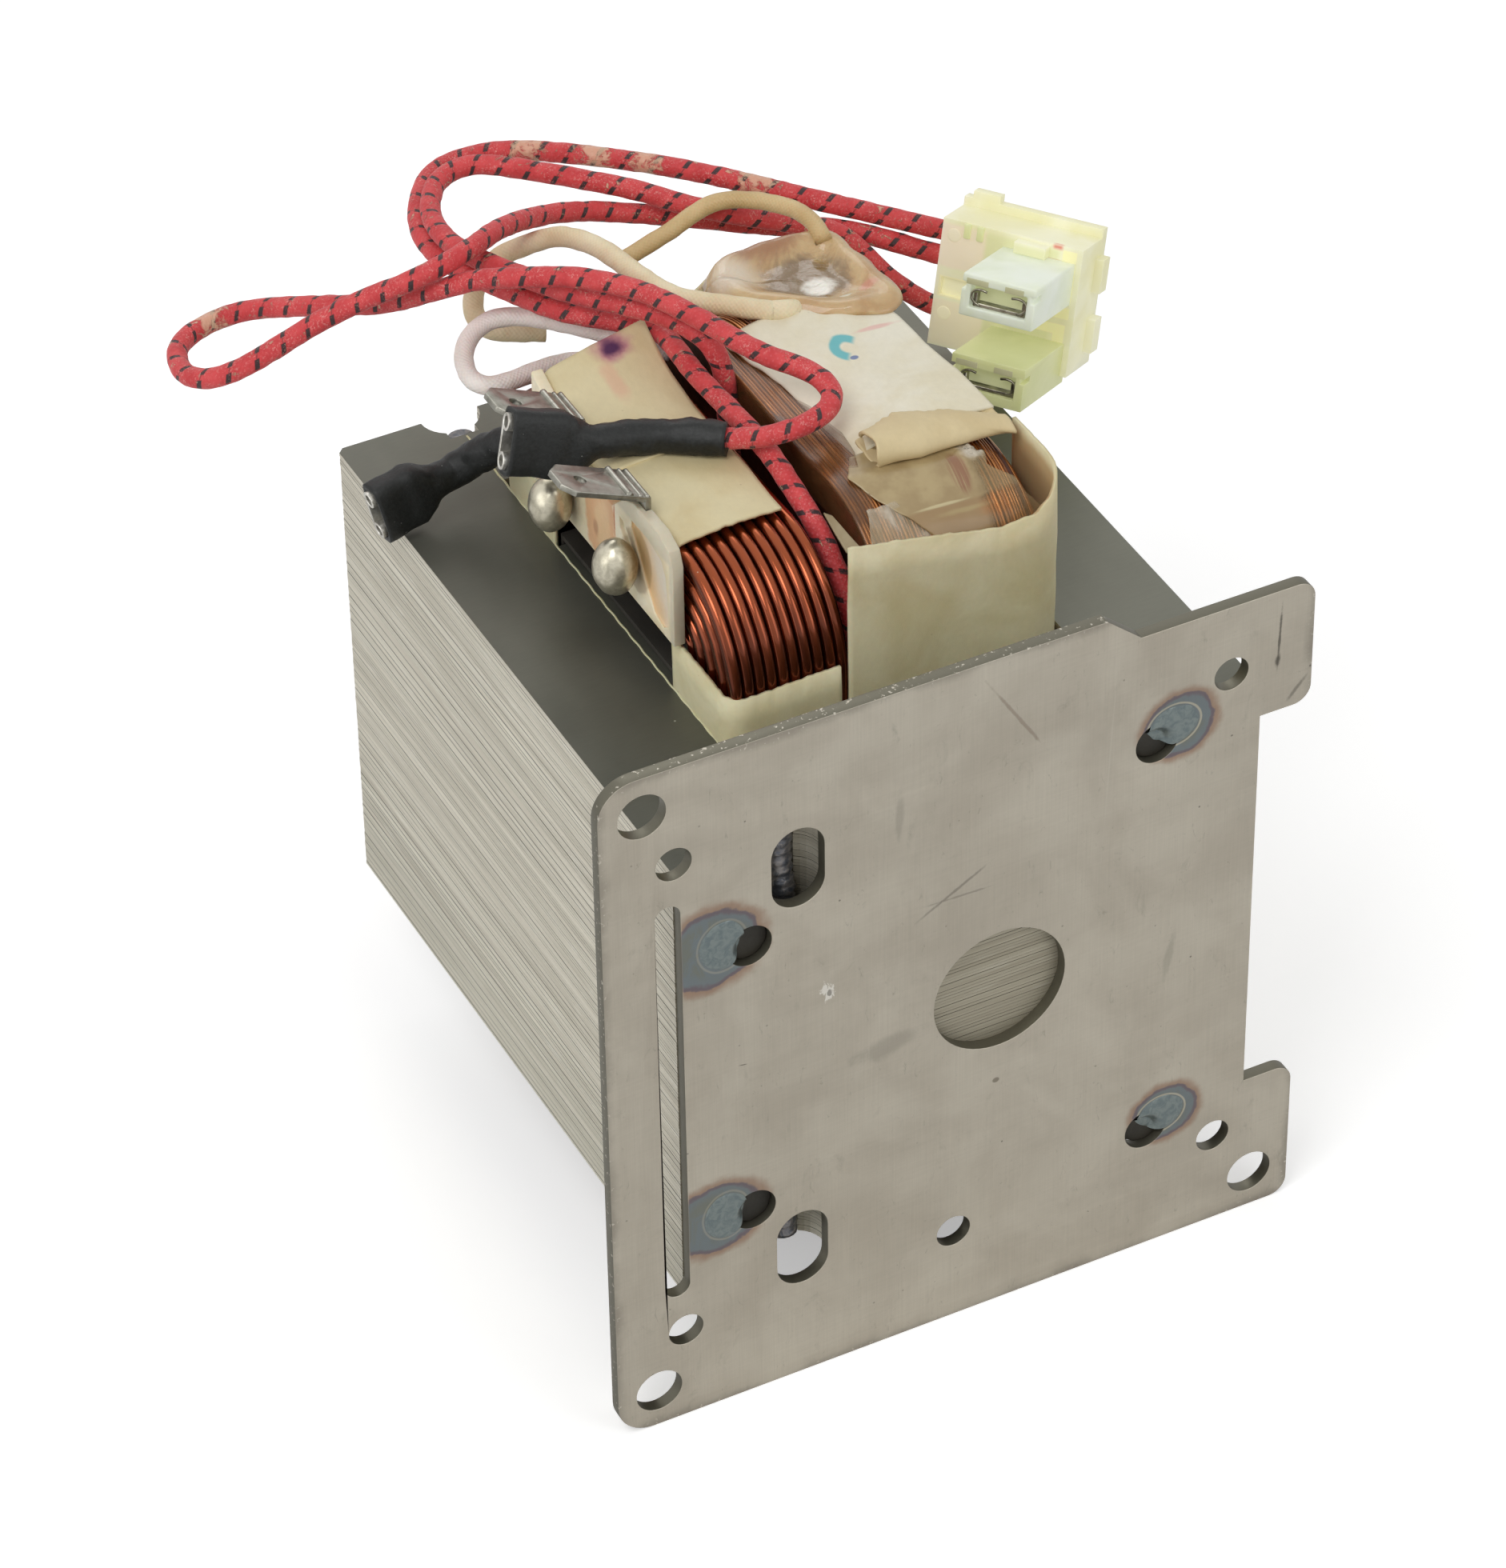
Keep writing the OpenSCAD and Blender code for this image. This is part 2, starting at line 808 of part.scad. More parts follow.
// flat sleeve over a receptacle, drawn in to the lead
module sleeve_body() {
    difference() {
        union() {
            hull()
                sleeve_section(8.4, 0);
            hull() {
                translate([8.4, 0, 0])
                    sleeve_section(0.01, 0);
                translate([12, 0, 0])
                    rotate([0, 90, 0])
                        cylinder(h = 0.4, d = neck_d, $fn = 24);
            }
        }
        translate([-0.01, 0, 0])
            hull()
                sleeve_section(7.8, 0.5);
    }
}

module black_sleeve_upper() {
    color([0.09, 0.1, 0.1])
        place_high() {
            at_upper_sleeve()
                sleeve_body();
            lead(route_neck_upper, neck_d, 12);
        }
}

module black_sleeve_lower() {
    color([0.09, 0.1, 0.1])
        place_high() {
            at_lower_sleeve()
                sleeve_body();
            lead(route_neck_lower, neck_d, 12);
        }
}

// push-on receptacle: flat floor with both edges rolled over
module receptacle(l) {
    w = 7.2;
    r = 1.15;
    for (s = [-1, 1])
        translate([0, 0, s * (w / 2 - r)])
            rotate([0, 90, 0])
                difference() {
                    cylinder(h = l, r = r, $fn = 24);
                    translate([0, 0, -1])
                        cylinder(h = l + 2, r = r - 0.4, $fn = 24);
                }
    translate([0, r - 0.4, -w / 2 + r])
        cube([l, 0.4, w - 2 * r]);
}

module receptacle_upper() {
    color([0.8, 0.8, 0.78])
        place_high()
            at_upper_sleeve()
                translate([0.3, 0, 0])
                    receptacle(7.4);
}

module receptacle_lower() {
    color([0.8, 0.8, 0.78])
        place_high()
            at_lower_sleeve()
                translate([0.3, 0, 0])
                    receptacle(7.4);
}

// frame of the connector: origin at the block's lower left front corner
module at_block() {
    translate(block_at)
        rotate([0, 0, block_turn])
            rotate([block_tilt, 0, 0])
                children();
}

housing_x = 8.5;
housing_w = 10.2;
housing_h = 5.7;
housing_z = [-1.2, -1.2 + housing_pitch];

module connector_block() {
    color([0.87, 0.88, 0.7])
        place_high()
            at_block()
                difference() {
                    union() {
                        // face and the walls behind it
                        cube([block_w, 1.6, block_h]);
                        translate([0, 0, block_h - 1.6])
                            cube([block_w, block_d, 1.6]);
                        translate([block_w - 1.6, 0, 0])
                            cube([1.6, block_d, block_h]);
                        translate([0, block_d - 1.6, block_h - 1.6])
                            cube([block_w, 1.6, 2.8]);
                        translate([1.2, block_d - 1.6, block_h])
                            cube([3.8, 1.6, 2.2]);
                        // catches on the right wall
                        for (z = [2.2, 10.4])
                            translate([block_w, block_d - 3.2, z])
                                cube([1.2, 2.4, 4.6]);
                        // latch over the upper housing
                        translate([10.6, -1.6, housing_z[1] + housing_h + 0.1])
                            cube([4.4, 2, 1.5]);
                    }
                    // seats of the two housings
                    for (z = housing_z)
                        translate([housing_x, -1, z])
                            cube([housing_w, 4, housing_h]);
                    // window in the left of the face
                    translate([0.8, -1, 7])
                        cube([4.4, 4, 2.4]);
                }
}

module housing(z) {
    slot_h = 3.1;
    slot_w = 7.8;
    at_block()
        translate([housing_x, -housing_l, z])
            difference() {
                cube([housing_w, housing_l + 1.6, housing_h]);
                translate([(housing_w - slot_w) / 2, -1, (housing_h - slot_h) / 2])
                    cube([slot_w, housing_l + 4, slot_h]);
                // the upper edges of the front are set back
                for (x = [-1, housing_w - 0.6])
                    translate([x, -1, housing_h - 2])
                        cube([1.6, 3, 0.8]);
            }
}

module housing_upper() {
    color([0.8, 0.87, 0.72])
        place_high()
            housing(housing_z[1]);
}

module housing_lower() {
    color([0.78, 0.84, 0.66])
        place_high()
            housing(housing_z[0]);
}

// contact that lies on the floor of a housing's slot
module housing_contact(z) {
    w = 7.2;
    l = 9;
    color([0.76, 0.74, 0.68])
        place_high()
            at_block()
                translate([housing_x + (housing_w - w) / 2, -housing_l + 0.8, z + 1.3]) {
                    cube([w, l, 0.5]);
                    for (x = [0, w - 0.5])
                        translate([x, 0, 0])
                            cube([0.5, l, 1.9]);
                }
}

module housing_contact_upper() {
    housing_contact(housing_z[1]);
}

module housing_contact_lower() {
    housing_contact(housing_z[0]);
}

mounting_plate();
e_core();
i_core();
joint_weld_front();
joint_weld_rear();
plate_weld_left_upper();
plate_weld_left_lower();
plate_weld_right_upper();
plate_weld_right_lower();
magnetic_shunt_front();
magnetic_shunt_rear();
primary_former();
primary_winding();
secondary_former();
secondary_winding();
filament_winding();
separator_front();
separator_rear();
primary_liner_front();
primary_liner_rear();
secondary_liner_front();
secondary_liner_rear();
primary_side_paper();
primary_paper_front();
primary_paper_rear();
terminal_board();
terminal_tab_front();
terminal_tab_rear();
solder_ball_front();
solder_ball_rear();
secondary_cover_paper();
secondary_film_flap();
lead_wrap_varnished();
filament_lead_upper();
filament_lead_lower();
capacitor_lead();
white_lead();
cream_sleeve();
tan_sleeve();
black_sleeve_upper();
black_sleeve_lower();
receptacle_upper();
receptacle_lower();
connector_block();
housing_upper();
housing_lower();
housing_contact_upper();
housing_contact_lower();
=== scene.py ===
"""Looks of the oven transformer. Points are in millimetres from the plate's lower left front
corner."""

import math
from functools import partialmethod

import bmesh
import bpy
from mathutils import Matrix, Vector, noise


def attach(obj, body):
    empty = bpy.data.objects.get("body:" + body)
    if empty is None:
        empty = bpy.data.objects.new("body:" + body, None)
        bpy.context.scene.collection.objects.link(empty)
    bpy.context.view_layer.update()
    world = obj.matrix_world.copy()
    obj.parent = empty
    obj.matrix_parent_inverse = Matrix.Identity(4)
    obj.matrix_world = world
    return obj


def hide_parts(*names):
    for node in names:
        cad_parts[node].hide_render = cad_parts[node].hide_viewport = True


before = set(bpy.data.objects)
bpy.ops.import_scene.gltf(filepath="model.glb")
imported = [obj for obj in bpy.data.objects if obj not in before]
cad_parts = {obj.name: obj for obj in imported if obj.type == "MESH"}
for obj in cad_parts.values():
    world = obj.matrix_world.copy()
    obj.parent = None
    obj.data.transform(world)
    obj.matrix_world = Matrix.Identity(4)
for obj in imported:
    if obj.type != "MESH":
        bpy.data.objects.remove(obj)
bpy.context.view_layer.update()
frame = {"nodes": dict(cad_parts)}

MM = 0.001
CORNER = Vector((49.0, 48.9, 0.0))
MID_Y = 49.8
PLATE_W, PLATE_H = 98.0, 106.0
BLOCK_AT = Vector((86.5, 78.5, 91.6))
BLOCK_TURN = (Matrix.Rotation(math.radians(-52), 3, "Z")
              @ Matrix.Rotation(math.radians(-18), 3, "X"))
SCENE = bpy.context.scene


def metres(p):
    """a point in millimetres from the plate's corner, in metres in the frame"""
    return (Vector(p) - CORNER) * MM


def add_object(name, data):
    """new object in the scene, unturned at the origin"""
    made = bpy.data.objects.new(name, data)
    SCENE.collection.objects.link(made)
    return made


def point_camera():
    data = bpy.data.cameras.new("photo_camera")
    data.lens = 151.15
    data.sensor_width = 36.0
    data.clip_start = 0.02
    data.clip_end = 20.0
    forward = Vector((0.34670, 0.68980, -0.63559)).normalized()
    right = Vector((0.88845, -0.45878, -0.01328))
    right = (right - right.dot(forward) * forward).normalized()
    up = right.cross(forward)
    turn = Matrix((right, up, -forward)).transposed()
    SCENE.camera = add_object("photo_camera", data)
    SCENE.camera.matrix_world = Matrix.Translation((-0.29851, -0.58612, 0.59454)) @ turn.to_4x4()


def soft_box(name, place, size, power):
    """square lamp that looks at the windings"""
    data = bpy.data.lights.new(name, "AREA")
    data.size = size
    data.energy = power
    aim = Vector((0, 0, 0.07)) - Vector(place)
    add_object(name, data).matrix_world = (
        Matrix.Translation(place) @ aim.to_track_quat("-Z", "Y").to_matrix().to_4x4())


def light_studio():
    """four soft boxes in white surroundings that the camera and reflections see at full strength"""
    world = bpy.data.worlds.new("studio")
    world.use_nodes = True
    SCENE.world = world
    graph = Graph(world.node_tree)
    camera, glossy, clear = (graph.node("LightPath", "Is %s Ray" % ray)
                             for ray in ("Camera", "Glossy", "Transmission"))
    seen = camera.math("ADD", glossy + clear, clamp=True)
    level = graph.node("MapRange", 0, {"Value": seen, "To Min": 0.42, "To Max": 1.0})
    back = world.node_tree.nodes["Background"]
    graph.feed(back.inputs["Strength"], level)
    graph.feed(back.inputs["Color"], (1, 1, 1, 1))
    soft_box("key_lamp", (-0.55, -0.35, 1.0), 0.5, 3.9)
    soft_box("side_lamp", (0.5, -0.9, 0.75), 0.7, 2.4)
    soft_box("rear_lamp", (0.2, 0.9, 0.9), 0.6, 2.0)
    soft_box("left_lamp", (-1.1, -0.1, 0.35), 0.8, 2.2)
    SCENE.view_settings.view_transform = "Standard"


def tone(r, g, b):
    """colour of the photograph's scale, 0 to 255, as the shader takes it"""
    def linear(c):
        c /= 255
        return c / 12.92 if c <= 0.04045 else ((c + 0.055) / 1.055) ** 2.4
    return (linear(r), linear(g), linear(b), 1.0)


class Wire:
    """a value in a graph, with arithmetic"""

    def __init__(self, graph, socket):
        self.graph = graph
        self.socket = socket

    def math(self, operation, *others, clamp=False):
        return self.graph.node("Math", 0, dict(enumerate((self,) + others)),
                               operation=operation, use_clamp=clamp)

    __add__ = __radd__ = partialmethod(math, "ADD")
    __sub__ = partialmethod(math, "SUBTRACT")
    __mul__ = __rmul__ = partialmethod(math, "MULTIPLY")
    __truediv__ = partialmethod(math, "DIVIDE")
    __abs__ = partialmethod(math, "ABSOLUTE")
    least = partialmethod(math, "MINIMUM")
    most = partialmethod(math, "MAXIMUM")
    sine = partialmethod(math, "SINE")
    part = partialmethod(math, "FRACT")

    def __rsub__(self, other):
        return (self * -1.0) + other

    def rise(self, low, high):
        """0 below low, 1 above high, smooth between, or the other way round"""
        ends = (1.0, 0.0) if low > high else (0.0, 1.0)
        return self.graph.node("MapRange", 0, {
            "Value": self, "From Min": min(low, high), "From Max": max(low, high),
            "To Min": ends[0], "To Max": ends[1]}, interpolation_type="SMOOTHSTEP")


class Graph:
    """node tree in which a node is made and fed in one call"""

    def __init__(self, tree):
        self.nodes = tree.nodes
        self.links = tree.links

    def feed(self, slot, value):
        if isinstance(value, Wire):
            self.links.new(value.socket, slot)
        else:
            slot.default_value = value

    def node(self, kind, output=0, feeds=(), **settings):
        node = self.nodes.new(kind if "Node" in kind else "ShaderNode" + kind)
        for word, value in settings.items():
            setattr(node, word, value)
        for slot, value in dict(feeds).items():
            self.feed(node.inputs[slot], value)
        return Wire(self, node.outputs[output]) if len(node.outputs) else None


class Finish(Graph):
    """material with its graph; numbers that are the same all over go on the shader's own sockets"""

    def __init__(self, name, roughness=0.5, metallic=0.0, **fixed):
        self.name = name
        self.material = bpy.data.materials.new(name)
        self.material.use_nodes = True
        super().__init__(self.material.node_tree)
        self.shader = self.nodes["Principled BSDF"]
        self.set(roughness=roughness, metallic=metallic, **fixed)
        # place on the object in millimetres
        self.at = self.node("VectorMath", 0, {
            0: self.node("TexCoord", "Object"), 1: (1000, 1000, 1000), 2: CORNER},
            operation="MULTIPLY_ADD")
        self.xyz = self.axes(self.at)
        self.colour = None

    def set(self, **sockets):
        for word, value in sockets.items():
            label = word.replace("_", " ").title().replace("Ior", "IOR")
            self.feed(self.shader.inputs[label], value)

    def axes(self, vector):
        parts = self.node("SeparateXYZ", 0, {0: vector})
        return [Wire(self, s) for s in parts.socket.node.outputs]

    def facing(self, axis):
        return self.axes(self.node("NewGeometry", "Normal"))[axis]

    def block_axes(self):
        """place in the connector's own frame"""
        return [self.node("VectorMath", "Value", {0: self.at, 1: column}, operation="DOT_PRODUCT")
                - BLOCK_AT.dot(column) for column in BLOCK_TURN.col]

    def scaled(self, stretch):
        return self.node("VectorMath", 0, {0: self.at, 1: stretch}, operation="MULTIPLY")

    def cloud(self, stretch, detail=3.0, rough=0.55, warp=0.0):
        """noise around 0.5; stretch is how many grains a millimetre along X, Y and Z"""
        stretch = stretch if isinstance(stretch, tuple) else (stretch,) * 3
        return self.node("TexNoise", 0, {"Vector": self.scaled(stretch), "Scale": 1.0,
                                         "Detail": detail, "Roughness": rough, "Distortion": warp})

    def specks(self, pitch, size):
        """round dots on a loose grid, 1 inside them"""
        cells = self.node("TexVoronoi", "Distance",
                          {"Vector": self.scaled((1 / pitch,) * 3), "Scale": 1.0})
        return cells.rise(size / pitch * 1.2, size / pitch * 0.7)

    def spot(self, across, up, centre, radii, wobble=0.0):
        """distance from a spot's centre, 1 on its rim"""
        a = (across - centre[0]) / radii[0]
        b = (up - centre[1]) / radii[1]
        return (a * a + b * b).math("SQRT") + wobble

    def blend(self, share, first, second):
        """mix of two colours, each a wire or the photograph's 0 to 255"""
        first, second = (tone(*c) if isinstance(c, tuple) else c for c in (first, second))
        return self.node("Mix", 2, {"Factor": share, 6: first, 7: second}, data_type="RGBA")

    def shade(self, colour, share):
        """colour made darker or lighter; share is around 1"""
        share = tone(*share) if isinstance(share, tuple) else share
        return self.node("Mix", 2, {"Factor": 1.0, 6: colour, 7: share}, data_type="RGBA",
                         blend_type="MULTIPLY")

    def base(self, share, first, second):
        self.colour = self.blend(share, first, second)

    def paint(self, share, *hue):
        """lays a colour over what is there"""
        self.colour = self.blend(share, self.colour, hue)

    def dim(self, share):
        self.colour = self.shade(self.colour, share)

    def mark(self, axes, centre, radii, wobble, full, share, hue, rim=1.0):
        """paints a spot that fades from full to rim, and gives the distance from its centre"""
        spot = self.spot(*axes, centre, radii, wobble)
        self.paint(spot.rise(rim, full) * share, *hue)
        return spot

    def relief(self, height, depth):
        """height of 0 to 1 as bump, depth in millimetres"""
        self.set(normal=self.node("Bump", 0, {"Strength": 1.0, "Distance": depth * MM,
                                              "Height": height}))

    def done(self, **varied):
        """the finish's name and its material"""
        self.set(base_color=self.colour, **varied)
        return self.name, self.material


def plate_steel():
    """rolled sheet, rubbed and marked, with heat tint round the four plug welds"""
    f = Finish("plate_steel", roughness=0.42, metallic=0.72)
    x, _, z = f.xyz
    brushed = f.cloud((4.5, 1.0, 0.08), 3)
    mottle = f.cloud((0.07, 0.3, 0.07), 5, 0.6, 0.4)
    smear = f.cloud((0.3, 1.0, 0.16), 5, 0.7, 0.9)
    rubbed = f.cloud((0.06, 1.0, 2.6), 3)
    pits = f.specks(2.3, 0.16) * f.cloud(0.12).rise(0.5, 0.62)
    f.base(mottle.rise(0.3, 0.7), (180, 172, 157), (193, 186, 171))
    f.dim(brushed * 0.16 + 0.92)
    f.dim(rubbed * 0.1 + 0.95)
    f.paint(smear.rise(0.58, 0.8) * 0.4, 140, 134, 121)
    edge = x.least(z).least(PLATE_W - x).least(PLATE_H - z) + (mottle - 0.5) * 4.0
    f.paint(edge.rise(1.4, -0.4) * 0.45, 118, 112, 102)
    chips = f.cloud(1.6, 3).rise(0.6, 0.68) * edge.rise(1.0, 0.2)
    f.paint(chips * 0.7, 214, 208, 194)
    f.paint(pits * 0.6, 70, 66, 60)
    scuff = f.cloud((0.8, 1.0, 0.3), 5, 0.75, 1.4)
    f.paint(scuff.rise(0.61, 0.7) * 0.3, 118, 113, 102)
    nick = f.cloud((1.6, 1.0, 1.6), 3, 0.6, 1.0).rise(0.7, 0.76) * smear.rise(0.45, 0.6)
    f.paint(nick * 0.6, 96, 92, 82)
    # scratches: middle, angle from level, half length and half width, shade, share
    for centre, angle, radii, hue, share in (
            ((48.1, 72.0), 29, (6.3, 0.3), (122, 116, 106), 0.6),
            ((49.0, 70.8), -2, (5.5, 0.22), (128, 122, 112), 0.5),
            ((56.2, 96.3), -58, (9.0, 0.3), (142, 128, 114), 0.6),
            ((69.5, 86.5), 87, (19.0, 0.16), (196, 190, 176), 0.5),
            ((93.1, 94.4), 88, (6.0, 0.25), (84, 80, 72), 0.8),
            ((93.0, 91.1), 80, (1.3, 0.5), (78, 74, 66), 0.8),
            ((18.4, 55.8), -10, (0.9, 0.15), (76, 72, 64), 0.8),
            ((40.2, 86.8), 88, (5.0, 0.8), (146, 140, 128), 0.4),
            ((78.8, 48.8), 80, (5.6, 0.7), (146, 142, 128), 0.4),
            ((38.4, 50.4), 8, (6.4, 2.0), (142, 136, 124), 0.4),
            ((95.9, 85.6), 50, (2.6, 0.4), (100, 96, 86), 0.6)):
        c, d = math.cos(math.radians(angle)), math.sin(math.radians(angle))
        run, off = x * c + z * d, z * c - x * d
        f.mark((run, off), (centre[0] * c + centre[1] * d, centre[1] * c - centre[0] * d),
               radii, (smear - 0.5) * 1.8, 0.3, share, hue)
    # chipped fleck, its pit, and a dot
    for centre, radii, wobble, full, share, hue in (
            ((30.3, 63.0), (0.9, 1.4), 4.0, 0.8, 1.0, (222, 218, 208)),
            ((30.5, 62.6), (0.4, 0.6), 2.0, 0.6, 0.7, (110, 104, 96)),
            ((54.0, 38.2), (0.6, 0.5), 0.0, 0.6, 0.7, (108, 100, 84))):
        f.mark((x, z), centre, radii, (scuff - 0.5) * wobble, full, share, hue)
    wander = (f.cloud(0.35, 3) - 0.5) * 0.35
    heat = x.rise(10.3, 10.8)
    # heat tint: its middle and radii, the plug's middle and radii, how clear the plug's pale rim is
    for centre, radii, plug, size, clear in (
            ((14.4, 76.0), (7.0, 6.0), (16.0, 76.0), (3.4, 4.0), 0.25),
            ((14.2, 31.8), (6.7, 5.5), (15.8, 31.8), (3.3, 3.9), 0.25),
            ((79.2, 86.1), (5.1, 4.8), (78.4, 86.3), (3.8, 3.3), 0.65),
            ((79.0, 22.0), (4.9, 4.4), (78.4, 22.0), (3.6, 3.1), 0.65)):
        tint = f.spot(x, z, centre, radii, wander)
        for low, high, share, hue in ((1.3, 1.02, 0.75, (150, 118, 96)),
                                      (1.03, 0.96, 0.85, (104, 98, 108)),
                                      (0.94, 0.84, 0.92, (118, 128, 130))):
            f.paint(tint.rise(low, high) * heat * share, *hue)
        f.paint(smear.rise(0.4, 0.6) * tint.rise(0.9, 0.6) * heat * 0.5, 122, 120, 100)
        ring = f.spot(x, z, plug, size, wander * 0.2)
        f.paint(abs(ring - 1.0).rise(0.06, 0.02) * clear, 196, 188, 166)
    # painted shade on the sheared edges and the walls of the holes, the faces that look sideways
    rim = abs(f.facing(1)).rise(0.75, 0.4)
    f.paint(rim * (1.0 - chips * 0.7), 104, 101, 88)
    f.relief(brushed * 0.4 + rubbed * 0.2 + mottle * 0.4 + pits * -0.8, 0.04)
    return f.done(roughness=0.34 + mottle * 0.2)


def core_iron():
    """stacked laminations: dull smooth faces above and below, bright sheared edges at the sides"""
    f = Finish("core_iron", roughness=0.45, metallic=0.55)
    flat = abs(f.facing(2)).rise(0.4, 0.8)
    x, y, z = f.xyz
    film = f.cloud((0.04, 0.02, 0.5), 4)
    grain = f.cloud((0.5, 3.0, 1.0), 3)
    face = f.blend(film.rise(0.3, 0.7), (84, 85, 76), (101, 101, 91))
    # painted light: the flat faces grow lighter towards the right and the rear
    face = f.blend((y * 0.7 + x).rise(60.0, 150.0) * 0.6, face, (128, 128, 116))
    face = f.shade(face, grain * 0.12 + 0.94)
    dust = f.specks(4.2, 0.16) * f.cloud(0.5).rise(0.5, 0.6)
    face = f.blend(dust, face, (190, 190, 180))
    coarse = f.cloud((0.02, 0.02, 0.55), 4, 0.6)
    fine = f.cloud((0.03, 0.03, 3.6), 2, 0.6)
    rub = f.cloud((0.12, 0.12, 1.6), 3, 0.6)
    edges = f.blend(coarse.rise(0.25, 0.75), (198, 192, 176), (226, 221, 206))
    edges = f.shade(edges, fine * 0.34 + 0.82)
    edges = f.blend(rub.rise(0.56, 0.74) * 0.5, edges, (238, 235, 224))
    edges = f.blend(z.rise(44.0, 16.0) * 0.3, edges, (176, 176, 160))
    # painted shade: the faces that look to the front are darker than the sides
    edges = f.blend(f.facing(1).rise(-0.5, -0.9) * 0.8, edges, f.shade(edges, (186, 182, 170)))
    slit = (z * 2.0 + 0.6).part()
    slit = abs(slit - 0.5).rise(0.4, 0.5) * f.cloud((0.1, 0.1, 4.0)).rise(0.35, 0.6)
    edges = f.blend(slit * 0.3, edges, (120, 115, 102))
    f.relief(fine * (1.0 - flat) + grain * 0.1, 0.06)
    f.base(flat, edges, face)
    return f.done(roughness=0.42 + fine * 0.16)


def weld_steel(name, dark, pale, depth):
    """chilled bead with ripples"""
    f = Finish(name, roughness=0.32, metallic=0.75)
    ripple = f.cloud(0.9, 3, 0.6, 1.2)
    f.base(ripple.rise(0.35, 0.65), dark, pale)
    f.relief(ripple, depth)
    return f.done(roughness=0.22 + ripple * 0.3)


def enamelled_copper():
    """thick magnet wire, dark varnish over copper"""
    f = Finish("enamelled_copper", roughness=0.2, metallic=0.92, coat_weight=0.25,
               coat_roughness=0.12)
    streak = f.cloud((1.3, 0.12, 0.12), 3)
    f.base(streak.rise(0.3, 0.7), (90, 40, 22), (122, 58, 32))
    # painted highlight: the faces of the turns that look upwards are lighter orange
    f.paint(f.facing(2).rise(0.4, 1.0) * 0.6, 176, 88, 48)
    dust = f.specks(3.1, 0.12) * f.cloud(0.6).rise(0.52, 0.6)
    f.paint(dust, 190, 160, 140)
    return f.done()


def fine_wire():
    """thin wire of the high voltage winding, lacquered golden brown"""
    f = Finish("fine_wire", roughness=0.28, metallic=0.75, coat_weight=0.4, coat_roughness=0.15)
    glint_rows = f.cloud((2.3, 0.04, 0.04), 2)
    wash = f.cloud(0.12, 3)
    # each turn gets at random dark brown or a bright orange that is a painted highlight
    f.base(glint_rows.rise(0.32, 0.68), (112, 66, 34), (214, 140, 72))
    f.dim(wash * 0.7 + 0.62)
    return f.done()


def shaded_winding_fill():
    """varnished wire deep between the turns, painted dark for the shade there"""
    f = Finish("shaded_winding_fill", roughness=0.5, metallic=0.3)
    f.base(f.cloud(0.8).rise(0.3, 0.7), (48, 24, 16), (78, 42, 28))
    return f.done()


def insulating_paper(name, pale, deep, stains=(), sheer=0.0, stained_shaded_wall=False, hook=False):
    """fibrous sheet soaked with varnish in places"""
    f = Finish(name, roughness=0.62, subsurface_weight=sheer, subsurface_scale=0.002)
    x, y, z = f.xyz
    soak = f.cloud(0.09, 4, 0.6, 0.5)
    fibre = f.cloud((1.4, 0.9, 1.1), 5, 0.7)
    fleck = f.specks(2.9, 0.14) * f.cloud(0.4).rise(0.5, 0.6)
    f.base(soak.rise(0.3, 0.72), pale, deep)
    f.dim(fibre * 0.16 + 0.92)
    f.paint(fleck * 0.35, 150, 125, 85)
    for centre, radii, hue, share in stains:
        f.mark((x, y), centre, radii, (f.cloud(0.5) - 0.5) * 0.7, 0.35, share, hue)
    if hook:
        # an ink mark in the shape of a hook
        ring = f.spot(x, y, (62.7, 55.4), (2.0, 2.7), (soak - 0.5) * 0.5)
        ink = abs(ring - 0.8).rise(0.42, 0.22) * (x * 1.4 - y).rise(33.8, 32.4)
        f.paint(ink * 0.9, 84, 182, 190)
        f.mark((x, y), (62.4, 53.2), (0.7, 0.5), (soak - 0.5) * 0.6, 0.6, 0.8, (56, 96, 160))
    if stained_shaded_wall:
        # varnish that has run down inside the right wall, painted darker there also as shade
        inner = (f.facing(0).rise(-0.2, -0.5) * x.rise(60.0, 64.0)
                 * (z + soak * 3.0).rise(114.6, 112.8))
        f.paint(inner * 0.9, 176, 148, 104)
    f.relief(fibre * 0.7 + soak * 0.6, 0.05)
    return f.done(roughness=0.5 + fibre * 0.25)


